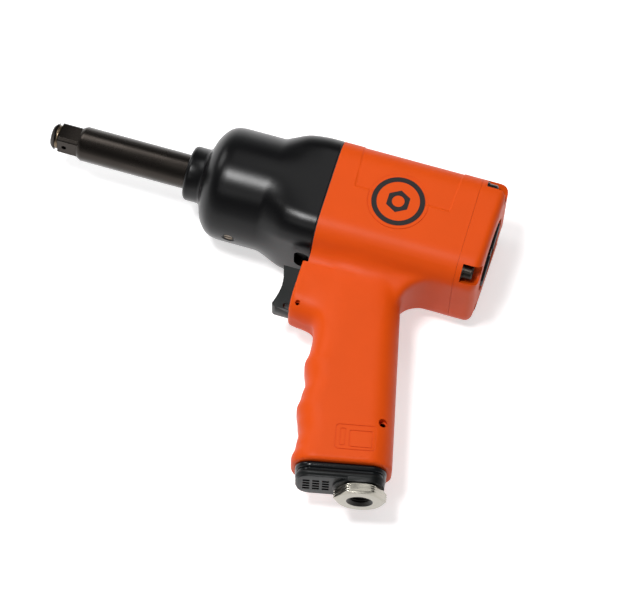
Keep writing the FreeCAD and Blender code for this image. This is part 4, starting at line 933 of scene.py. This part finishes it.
def make_case():
    bm = bmesh.new()
    squares = {}
    bmesh.ops.create_circle(bm, cap_ends=False, segments=CASE_SIDES, radius=1,
                            matrix=Matrix.Rotation(math.pi / 2, 4, "Y"))
    ring = bm.edges[:]
    start = [(case_low.x, NOSE_R - NOSE_LIP)] + [
        (case_low.x + NOSE_LIP * (1 - math.cos(a)), NOSE_R - NOSE_LIP * (1 - math.sin(a)))
        for a in [math.pi / 2 * i / 6 for i in range(1, 7)]]

    def shape(verts, x, radius=None):
        for vert in verts:
            angle = math.atan2(vert.co.z, vert.co.y)
            key = round(angle, 4)
            if key not in squares:
                squares[key] = rounded_radius(angle)
            r = case_radius(x, squares[key]) if radius is None else radius
            if radius is not None and x > FLANGE_X:
                r = squares[key] + radius
            vert.co = (x, r * math.cos(angle), r * math.sin(angle))

    shape({v for e in ring for v in e.verts}, *start[0])
    rows = start[1:] + [(x, None) for x in case_stations()] + [(JOINT_X, -0.4)]
    for x, radius in rows:
        grown = bmesh.ops.extrude_edge_only(bm, edges=ring)["geom"]
        shape([g for g in grown if isinstance(g, bmesh.types.BMVert)], x, radius)
        ring = [g for g in grown if isinstance(g, bmesh.types.BMEdge)]
    for x in (case_low.x, JOINT_X):
        rim = [e for e in bm.edges if len(e.link_faces) == 1 and all(abs(v.co.x - x) < 1e-4 for v in e.verts)]
        bmesh.ops.edgeloop_fill(bm, edges=rim)
    bmesh.ops.recalc_face_normals(bm, faces=bm.faces)
    return bm


CAVITY_R = 27.5
SHANK_R = 9.5
BUSH_R = 12.5
RECESS_X0, RECESS_X1, RECESS_HALF_Z = 130.2, 138.4, 4.0    # slot under the flange
RECESS_DEPTH = 3.8
BOLT_HOLE_R = 2.55
PLUG_HOLE_R = 2.6
DISH_R = 5.6             # the shallow dish round the grease plug


def hollow_case(bm):
    inside = lathe([(case_low.x - 1, 0), (case_low.x - 1, SHANK_R + 1), (case_low.x + 0.6, SHANK_R + 1),
                    (case_low.x + 0.6, BUSH_R), (86.0, BUSH_R), (86.0, 14.2), (88.2, 14.2), (91.6, CAVITY_R),
                    (JOINT_X + 1, CAVITY_R), (JOINT_X + 1, 0)], 144)
    plug_low, plug_high = extent("grease_plug")
    plug = (plug_low + plug_high) / 2
    outward = Vector((0, plug.y, plug.z)).normalized()
    bm = press(bm, rod(plug - outward * 3.5, plug + outward * 12, PLUG_HOLE_R, 32))
    dish = bmesh.new()
    place = Matrix.Translation(outward * (CASE_R + 4.0)) @ Matrix.Translation((plug.x, 0, 0))
    bmesh.ops.create_uvsphere(dish, u_segments=48, v_segments=24, radius=DISH_R, matrix=place)
    bm = press(bm, dish)
    recess = box((RECESS_X0, -HALF_Y - 2, -RECESS_HALF_Z), (RECESS_X1, -HALF_Y + RECESS_DEPTH, RECESS_HALF_Z))
    middle, radius = (RECESS_X0 + RECESS_X1) / 2, (RECESS_X1 - RECESS_X0) / 2
    bm = press(bm, recess)
    for side in (1, -1):
        end = side * RECESS_HALF_Z
        bm = press(bm, rod((middle, -HALF_Y - 2, end), (middle, -HALF_Y + RECESS_DEPTH, end), radius, 40))
    for sy, sz in corner_signs():
        y, z = sy * BOLT_Y, sz * BOLT_Z
        bm = press(bm, rod((JOINT_X - 11, y, z), (JOINT_X + 2, y, z), BOLT_HOLE_R, 24))
    return bm


finish("case_shell", hollow_case(make_case()), "tool_body", gloss_black, ["hammer_case"])

# %% [markdown]
# ## The anvil
# The spindle is one forging: the shank is turned, and its front end is milled square. Turning is
# a spin of the outline. The square is a block, kept only where a turned shape also is, which
# rounds its corners and its tip as the real lathe does.

# %% Anvil
SQUARE = 12.7
SQUARE_CORNER_R = 7.9
ROLL = math.radians(-11)
TIP_X = anvil_low.x
ring_low, ring_high = extent("socket_retainer_ring")
RING_X = (ring_low.x + ring_high.x) / 2
RING_HALF = (ring_high.x - ring_low.x) / 2
COLLAR_X = 88.2
PILOT_X = anvil_high.x
COLLAR_R = 13.0
PILOT_R = 6.0
JAW_R = 12.5


def make_square():
    half = SQUARE / 2
    bm = box((TIP_X, -half, -half), (0.4, half, half))
    soften(bm, 0.45, segments=3)
    turned = lathe([(TIP_X - 1e-3, 0), (TIP_X - 1e-3, 5.4), (TIP_X + 0.6, 6.1), (TIP_X + 3.0, SQUARE_CORNER_R),
                    (1, SQUARE_CORNER_R), (1, 0)])
    bm = press(bm, turned, "INTERSECT")
    groove = lathe([(RING_X - RING_HALF, 5.0), (RING_X - RING_HALF, 12), (RING_X + RING_HALF, 12),
                    (RING_X + RING_HALF, 5.0), (RING_X - RING_HALF, 5.0)])
    bm = press(bm, groove)
    bm = press(bm, rod((-7.6, -12, 0), (-7.6, 12, 0), 1.4, 32))
    bmesh.ops.rotate(bm, cent=(0, 0, 0), matrix=Matrix.Rotation(ROLL, 3, "X"), verts=bm.verts)
    return bm


def make_anvil():
    bm = lathe([(0, 0), (0, 8.2), (0.3, 8.5), (2.4, SHANK_R), (COLLAR_X, SHANK_R), (COLLAR_X, COLLAR_R),
                (COLLAR_X + 3.2, COLLAR_R), (COLLAR_X + 3.2, SHANK_R), (PILOT_X - 3.9, SHANK_R),
                (PILOT_X - 3.9, PILOT_R), (PILOT_X, PILOT_R), (PILOT_X, 0)])
    soften(bm, 0.25, 40, 2)
    for side, node in ((1, "front_hammer"), (-1, "rear_hammer")):
        low, high = extent(node)
        jaw = rod((low.x + 0.4, 0, 0), (high.x - 0.4, 0, 0), JAW_R, 64)
        y0, y1 = sorted((side * 4.0, side * 14.0))
        jaw = press(jaw, box((low.x, y0, -13), (high.x, y1, 13)), "INTERSECT")
        soften(jaw, 0.3, 40, 2)
        merge(bm, jaw)
    merge(bm, make_square())
    return bm


finish("anvil_forging", make_anvil(), "anvil_body", black_oxide, ["anvil"], smooth=30)

# %% [markdown]
# A split friction ring sits in the square's groove and grips the socket. It is a spun circle,
# cut open at one side.

# %% Friction ring


def make_friction_ring():
    middle_r, wire = SQUARE / 2 - 0.35, 0.5
    outline = [(RING_X + 0.95 * math.cos(a), middle_r + wire * math.sin(a))
               for a in [2 * math.pi * i / 20 for i in range(21)]]
    bm = lathe(outline, 96)
    bm = press(bm, box((RING_X - 3, 2, -0.7), (RING_X + 3, 12, 0.7)))
    bmesh.ops.rotate(bm, cent=(0, 0, 0), matrix=Matrix.Rotation(ROLL, 3, "X"), verts=bm.verts)
    return bm


finish("friction_ring", make_friction_ring(), "anvil_body", ring_wire,
       ["socket_retainer_ring"])

# %% [markdown]
# ## The trigger
# Its outline has a hollow for the finger and a rounded toe. Both sides are rounded with a wide
# bevel, and a slot for its pin is cut right through.

# %% Trigger
TRIGGER_HALF_Z = trigger_high.z - 1.6
TRIGGER_LIFT = 1.4
TRIGGER_TRAVEL = 6.5
SLOT_HALF = 1.55
SPRING_POCKET_R = 4.8


def make_trigger():
    x0, x1 = trigger_low.x, trigger_high.x
    top, bottom = trigger_high.y - 0.6, trigger_low.y + TRIGGER_LIFT
    hollow = [(x0 + 2.1 * math.sin(math.pi * t) + 0.7 * t, top + (bottom + 2.6 - top) * t)
              for t in [i / 16 for i in range(17)]]
    toe = arc((x0 + 2.3, bottom + 1.9), 1.9, 160, 270, 6)
    bm = slab(hollow + toe + [(x1, bottom), (x1, top)], TRIGGER_HALF_Z)
    front = [e for e in bm.edges if abs(e.verts[0].co.z - e.verts[1].co.z) < 1e-3 and e.is_manifold
             and max(v.co.x for v in e.verts) < x1 - 1 and e.calc_face_angle(0) > 0.6]
    round_edges(bm, front, 1.0, 4, clamp=True)
    y = TRIGGER_PIN.y
    slot_x = (TRIGGER_PIN.x - TRIGGER_TRAVEL, TRIGGER_PIN.x)
    bm = press(bm, box((slot_x[0], y - SLOT_HALF, -20), (slot_x[1], y + SLOT_HALF, 20)))
    for x in slot_x:
        bm = press(bm, rod((x, y, -20), (x, y, 20), SLOT_HALF, 32))
    rod_y = (rod_low.y + rod_high.y) / 2
    pocket = rod((extent("trigger_spring")[0].x, rod_y, 0), (x1 + 1, rod_y, 0), SPRING_POCKET_R, 40)
    return press(bm, pocket)


finish("trigger_lever", make_trigger(), "trigger_body", trigger_grey, ["trigger"])

# %% [markdown]
# ## The base
# Under the grip are a ribbed rubber seal and a plastic base with an exhaust grille. Both follow
# the grip's rounded outline. Each starts as a block whose upright corners are rounded.

# %% Seal and base
FRONT_U = 25.9
SEAL_T = 4.2
BASE_T = 3.8
COLLAR_T = 1.3
INSET = 2.2
BASE_NARROWER = 1.2
BASE_COLLAR_R = 14.4
INLET_HOLE_R = 8.55


def add_plate(bm, s0, s1, inset, edge=0.0):
    """A rounded plate across the grip between two heights."""
    half_z = GRIP_HALF_Z - BASE_NARROWER - inset
    part = box((-FRONT_U + inset, s0, -half_z), (GRIP_REAR - inset, s1, half_z))
    round_edges(part, edges_along(part, 1, 0.1), GRIP_CORNER - 2 - inset, 14)
    if edge:
        soften(part, edge, 60, 4)
    merge(bm, part)


def make_seal():
    bm = bmesh.new()
    add_plate(bm, -SEAL_T, 0.0, INSET + 1.4)
    add_plate(bm, -3.2, 0.0, INSET, 1.3)
    return into_place(bm)


def make_base():
    bottom = -SEAL_T - BASE_T
    bm = bmesh.new()
    add_plate(bm, bottom, -SEAL_T - 0.5, INSET + 1.5, 0.3)
    rim = bmesh.new()
    add_plate(rim, bottom + 0.8, -SEAL_T, INSET + 0.5, 1.3)
    bm = press(bm, rim, "UNION")
    collar = rod((INLET_OFFSET, bottom - COLLAR_T, 0), (INLET_OFFSET, -SEAL_T - 0.5, 0),
                 BASE_COLLAR_R, 72)
    soften(collar, 0.5, 60, 3)
    limit = bmesh.new()
    add_plate(limit, bottom - 3, 1, INSET + 0.8)
    collar = press(collar, limit, "INTERSECT")
    bm = press(bm, collar, "UNION")
    holes = bmesh.new()
    for i in range(3):
        for j in range(4):
            u, z = -17.5 + 5.0 * i, 3.5 * (j - 1.5)
            add_box(holes, (u - 1.8, bottom - 2, z - 1.15), (u + 1.8, bottom + 2.4, z + 1.15))
    bm = press(bm, holes)
    bm = press(bm, rod((INLET_OFFSET, bottom - 4, 0), (INLET_OFFSET, 2, 0), INLET_HOLE_R, 64))
    return into_place(bm)


finish("ribbed_seal", make_seal(), "tool_body", rubber, ["base_gasket"], smooth=50)
finish("exhaust_cap", make_base(), "tool_body", black_plastic, ["exhaust_base"])

# %% [markdown]
# ## The air inlet
# A hexagonal bushing with a pipe thread. The hexagon is a six-sided cone mesh, kept only inside
# a turned shape: that gives the round chamfers of a real nut, and three fine grooves that show
# only at its corners. The thread is a row of turned ridges.

# %% Inlet bushing
HEX_FLATS = 24.0
HEX_TOP = -SEAL_T - BASE_T - COLLAR_T
HEX_BOTTOM = -INLET_DROP
THREAD_R = 5.7
SHANK_TOP = 30.0
SLEEVE_R = 6.9
INLET_SHANK_R = 8.5
THREAD_END_R = 4.5


def lathe_in_grip(outline, steps=96):
    """Spins an outline of (height, radius) round the inlet's axis, in the grip's frame."""
    bm = lathe(outline, steps)
    place = Matrix.Translation((INLET_OFFSET, 0, 0)) @ Matrix.Rotation(math.pi / 2, 4, "Z")
    bmesh.ops.transform(bm, matrix=place, verts=bm.verts)
    return bm


def make_inlet():
    corner = HEX_FLATS / math.sqrt(3)
    face_r = HEX_FLATS / 2 - 0.3
    hexagon = bmesh.new()
    middle = (HEX_TOP + HEX_BOTTOM) / 2
    place = Matrix.Translation((INLET_OFFSET, middle, 0)) @ Matrix.Rotation(math.pi / 2, 4, "X")
    place = place @ Matrix.Rotation(math.pi / 6, 4, "Z")
    bmesh.ops.create_cone(hexagon, cap_ends=True, segments=6, radius1=corner, radius2=corner,
                          depth=HEX_TOP - HEX_BOTTOM, matrix=place)
    slope = (corner - face_r) * 0.58
    over, deep = corner + 0.2, corner - 0.75
    outline = [(HEX_BOTTOM, 0), (HEX_BOTTOM, face_r), (HEX_BOTTOM + slope, over)]
    for i in (-1, 0, 1):
        centre = middle + 1.25 * i
        outline += [(centre - 0.42, over), (centre - 0.2, deep), (centre + 0.2, deep), (centre + 0.42, over)]
    outline += [(HEX_TOP - slope, over), (HEX_TOP, face_r), (HEX_TOP, 0)]
    bm = press(hexagon, lathe_in_grip(outline), "INTERSECT")
    bmesh.ops.remove_doubles(bm, verts=bm.verts, dist=1e-3)
    soften(bm, 0.12, 25, 2)
    shank = lathe_in_grip([(HEX_TOP - 0.5, 0), (HEX_TOP - 0.5, INLET_SHANK_R), (SHANK_TOP, INLET_SHANK_R),
                            (SHANK_TOP, 0)])
    bm = press(bm, shank, "UNION")
    hole = lathe_in_grip([(HEX_BOTTOM - 1, 0), (HEX_BOTTOM - 1, SLEEVE_R), (SHANK_TOP + 1, SLEEVE_R),
                          (SHANK_TOP + 1, 0)])
    return press(bm, hole)


def make_thread():
    sleeve = lathe_in_grip([(HEX_BOTTOM, 0), (HEX_BOTTOM, SLEEVE_R), (SHANK_TOP, SLEEVE_R), (SHANK_TOP, 0)])
    return press(sleeve, lathe_in_grip(thread_outline()))


def thread_outline():
    """Bore with turned ridges, a little wider at the mouth."""
    pitch, depth = 1.41, 0.75
    outline = [(HEX_BOTTOM - 1, 0), (HEX_BOTTOM - 1, THREAD_R + 1.0), (HEX_BOTTOM, THREAD_R + 0.9),
               (HEX_BOTTOM + 0.8, THREAD_R)]
    height = HEX_BOTTOM + 0.8
    while height < HEX_BOTTOM + 12.0:
        outline += [(height + pitch / 2, THREAD_R - depth), (height + pitch, THREAD_R)]
        height += pitch
    return outline + [(height, THREAD_END_R), (SHANK_TOP + 1, THREAD_END_R), (SHANK_TOP + 1, 0)]


finish("hex_inlet", into_place(make_inlet()), "tool_body", nickel, ["inlet_bushing"],
       smooth=28)
# The thread sleeve is painted dark, partly as oiled steel and partly as painted shade inside the bore.
finish("inlet_thread", into_place(make_thread()), "tool_body", thread_painted_shade, smooth=28)

# %% [markdown]
# ## The dial
# The rear dial sets power and direction. Its edge is ridged for the thumb, so a ring of small
# rods is pressed into a disc, and a bar across its face is what the fingers turn.

# %% Dial
DIAL_BACK = dial_low.x
DIAL_FACE = dial_high.x
BAR_T = 3.0
NOTCHES = 32
DIAL_HOLE_R = 4.1


def make_dial():
    face = DIAL_FACE - BAR_T
    outline = [(DIAL_BACK, 0), (DIAL_BACK, DIAL_R - 0.4), (DIAL_BACK + 0.4, DIAL_R), (face - 0.8, DIAL_R),
               (face, DIAL_R - 0.8), (face, DIAL_R - 3.0), (face - 0.7, DIAL_R - 3.4), (face - 0.7, 0)]
    bm = lathe(outline, 120)
    notches = bmesh.new()
    for i in range(NOTCHES):
        a = 2 * math.pi * i / NOTCHES
        y, z = (DIAL_R + 0.25) * math.cos(a), (DIAL_R + 0.25) * math.sin(a)
        add_rod(notches, (DIAL_BACK + 1.2, y, z), (DIAL_FACE, y, z), 0.95, 12)
    bm = press(bm, notches)
    bar = box((face - 2, -DIAL_R + 1.4, -3.4), (DIAL_FACE, DIAL_R - 1.4, 3.4))
    soften(bar, 0.9, 40, 4)
    bm = press(bm, bar, "UNION")
    return press(bm, rod((DIAL_BACK - 1, 0, 0), (DIAL_FACE + 1, 0, 0), DIAL_HOLE_R, 48))


finish("dial_knob", make_dial(), "dial_body", black_plastic, ["reverse_dial"])

# %% [markdown]
# ## Bolts
# Four long bolts hold cover, housing and case together. Only their heads show, in the corner
# pockets, so the heads get a small chamfer and a hexagon socket.

# %% Case bolts
BOLT_X0 = bolt_low.x
HEAD_X = washer_high.x
HEAD_END = bolt_high.x
BOLT_ROD_R = 2.5
SOCKET_R = 2.31


def make_bolt():
    outline = [(BOLT_X0, 0), (BOLT_X0, 2.1), (BOLT_X0 + 0.5, BOLT_ROD_R), (HEAD_X, BOLT_ROD_R),
               (HEAD_X, HEAD_R - 0.2), (HEAD_X + 0.2, HEAD_R), (HEAD_END - 0.6, HEAD_R),
               (HEAD_END, HEAD_R - 0.6), (HEAD_END, 0)]
    bm = lathe(outline, 48)
    socket = bmesh.new()
    place = Matrix.Translation((HEAD_END, 0, 0)) @ Matrix.Rotation(math.pi / 2, 4, "Y")
    bmesh.ops.create_cone(socket, cap_ends=True, segments=6, radius1=SOCKET_R, radius2=SOCKET_R, depth=5.0,
                          matrix=place)
    return press(bm, socket)


bolts = bmesh.new()
for sy, sz in corner_signs():
    one = make_bolt()
    bmesh.ops.translate(one, vec=(0, sy * BOLT_Y, sz * BOLT_Z), verts=one.verts)
    merge(bolts, one)
finish("long_bolts", bolts, "tool_body", black_oxide, ["case_bolts"])

# %% [markdown]
# ## Floor and light
# A pale floor and soft lamps, as in a product studio. The floor is white to the camera and keeps
# the tool's shadow. Large soft lamps give the long pale reflections on the black case.

# %% Floor
FLOOR_GLOW = 0.56        # seen by the camera and by mirrors; the rest of the white is real light
floor_bm = bmesh.new()
bmesh.ops.create_grid(floor_bm, x_segments=1, y_segments=1, size=3.0)
bmesh.ops.translate(floor_bm, vec=(0, 0, cad_box[0][2] - 0.0002), verts=floor_bm.verts)
floor = to_object("studio_floor", floor_bm)
floor_paint = bpy.data.materials.new("studio_floor")
floor_paint.use_nodes = True
floor_nodes, floor_links = floor_paint.node_tree.nodes, floor_paint.node_tree.links
floor_shader = floor_nodes["Principled BSDF"]
floor_shader.inputs["Base Color"].default_value = (0.86, 0.855, 0.86, 1)
floor_shader.inputs["Roughness"].default_value = 0.8
floor_shader.inputs["Emission Color"].default_value = (1, 1, 1, 1)
floor_ray = floor_nodes.new("ShaderNodeLightPath")


def floor_math(operation, first, second):
    """Adds a Math node to the floor's paint. The second value is a socket or a number."""
    node = floor_nodes.new("ShaderNodeMath")
    node.operation = operation
    floor_links.new(first, node.inputs[0])
    if isinstance(second, float):
        node.inputs[1].default_value = second
    else:
        floor_links.new(second, node.inputs[1])
    return node.outputs["Value"]


ray = floor_ray.outputs
seen = floor_math("MAXIMUM", ray["Is Camera Ray"], ray["Is Glossy Ray"])
seen = floor_math("MAXIMUM", seen, ray["Is Transmission Ray"])
floor_links.new(floor_math("MULTIPLY", seen, FLOOR_GLOW), floor_shader.inputs["Emission Strength"])
floor.data.materials.append(floor_paint)


# %% Lamps
TARGET = Vector((0.148, -0.056, 0.0))


def add_lamp(name, direction, distance, size, power, size_y=None):
    """A soft lamp at some distance from the tool, turned towards it."""
    lamp = bpy.data.lights.new(name, "AREA")
    lamp.energy = power
    lamp.shape = "RECTANGLE"
    lamp.size = size
    lamp.size_y = size_y or size
    holder = bpy.data.objects.new(name, lamp)
    place = TARGET + Vector(direction).normalized() * distance
    holder.location = place
    holder.rotation_euler = (TARGET - place).to_track_quat("-Z", "Y").to_euler()
    scene.collection.objects.link(holder)


add_lamp("overhead_softbox", (-0.21, -0.11, 0.97), 1.3, 0.30, 11.5, 0.22)
add_lamp("lower_strip", (-0.10, -0.62, 0.74), 1.3, 0.9, 1.2, 0.3)
add_lamp("left_softbox", (-0.9, 0.45, 0.75), 1.4, 0.6, 4.5)
add_lamp("top_fill", (0.05, 0.55, 0.87), 1.6, 0.8, 3.0)

# %% [markdown]
# The room has a dark ceiling and a pale horizon. The black paint then stays black on top, where
# it mirrors the ceiling, and still has a bright edge where it mirrors the far wall.

# %% World
CEILING = 0.12
HORIZON = 0.55
world = bpy.data.worlds.new("studio_world")
world.use_nodes = True
world_nodes, world_links = world.node_tree.nodes, world.node_tree.links
direction = world_nodes.new("ShaderNodeTexCoord")
height = world_nodes.new("ShaderNodeSeparateXYZ")
level = world_nodes.new("ShaderNodeMapRange")
for socket, value in (("From Min", 0.10), ("From Max", 0.45), ("To Min", HORIZON), ("To Max", CEILING)):
    level.inputs[socket].default_value = value
world_links.new(direction.outputs["Generated"], height.inputs["Vector"])
world_links.new(height.outputs["Z"], level.inputs["Value"])
world_nodes["Background"].inputs["Color"].default_value = (1, 1, 1, 1)
world_links.new(level.outputs["Result"], world_nodes["Background"].inputs["Strength"])
scene.world = world
scene.view_settings.view_transform = "Standard"

# %% [markdown]
# ## Camera
# The camera looks down at the side of the tool from the front, with a long lens, so the far end
# is hardly smaller than the near one.

# %% Camera
AZIMUTH = 14.17
ELEVATION = 65.2
ROLL_IN_VIEW = 2.56
DISTANCE = 1.5
LENS = 162.87
camera = bpy.data.objects.new("camera", bpy.data.cameras.new("camera"))
LOOK_AT = Vector((0.1478, -0.0549, 0))
azimuth, elevation = math.radians(AZIMUTH), math.radians(ELEVATION)
away = Vector((math.sin(azimuth) * math.cos(elevation), -math.cos(azimuth) * math.cos(elevation),
               math.sin(elevation)))
camera.location = LOOK_AT + away * DISTANCE
turn = away.to_track_quat("Z", "Y").to_matrix() @ Matrix.Rotation(math.radians(ROLL_IN_VIEW), 3, "Z")
camera.rotation_euler = turn.to_euler()
camera.data.lens = LENS
camera.data.sensor_width = 36.0
camera.data.clip_start = 0.05
camera.data.clip_end = 20.0
scene.collection.objects.link(camera)
scene.camera = camera

# %% Finish
print("scene built")
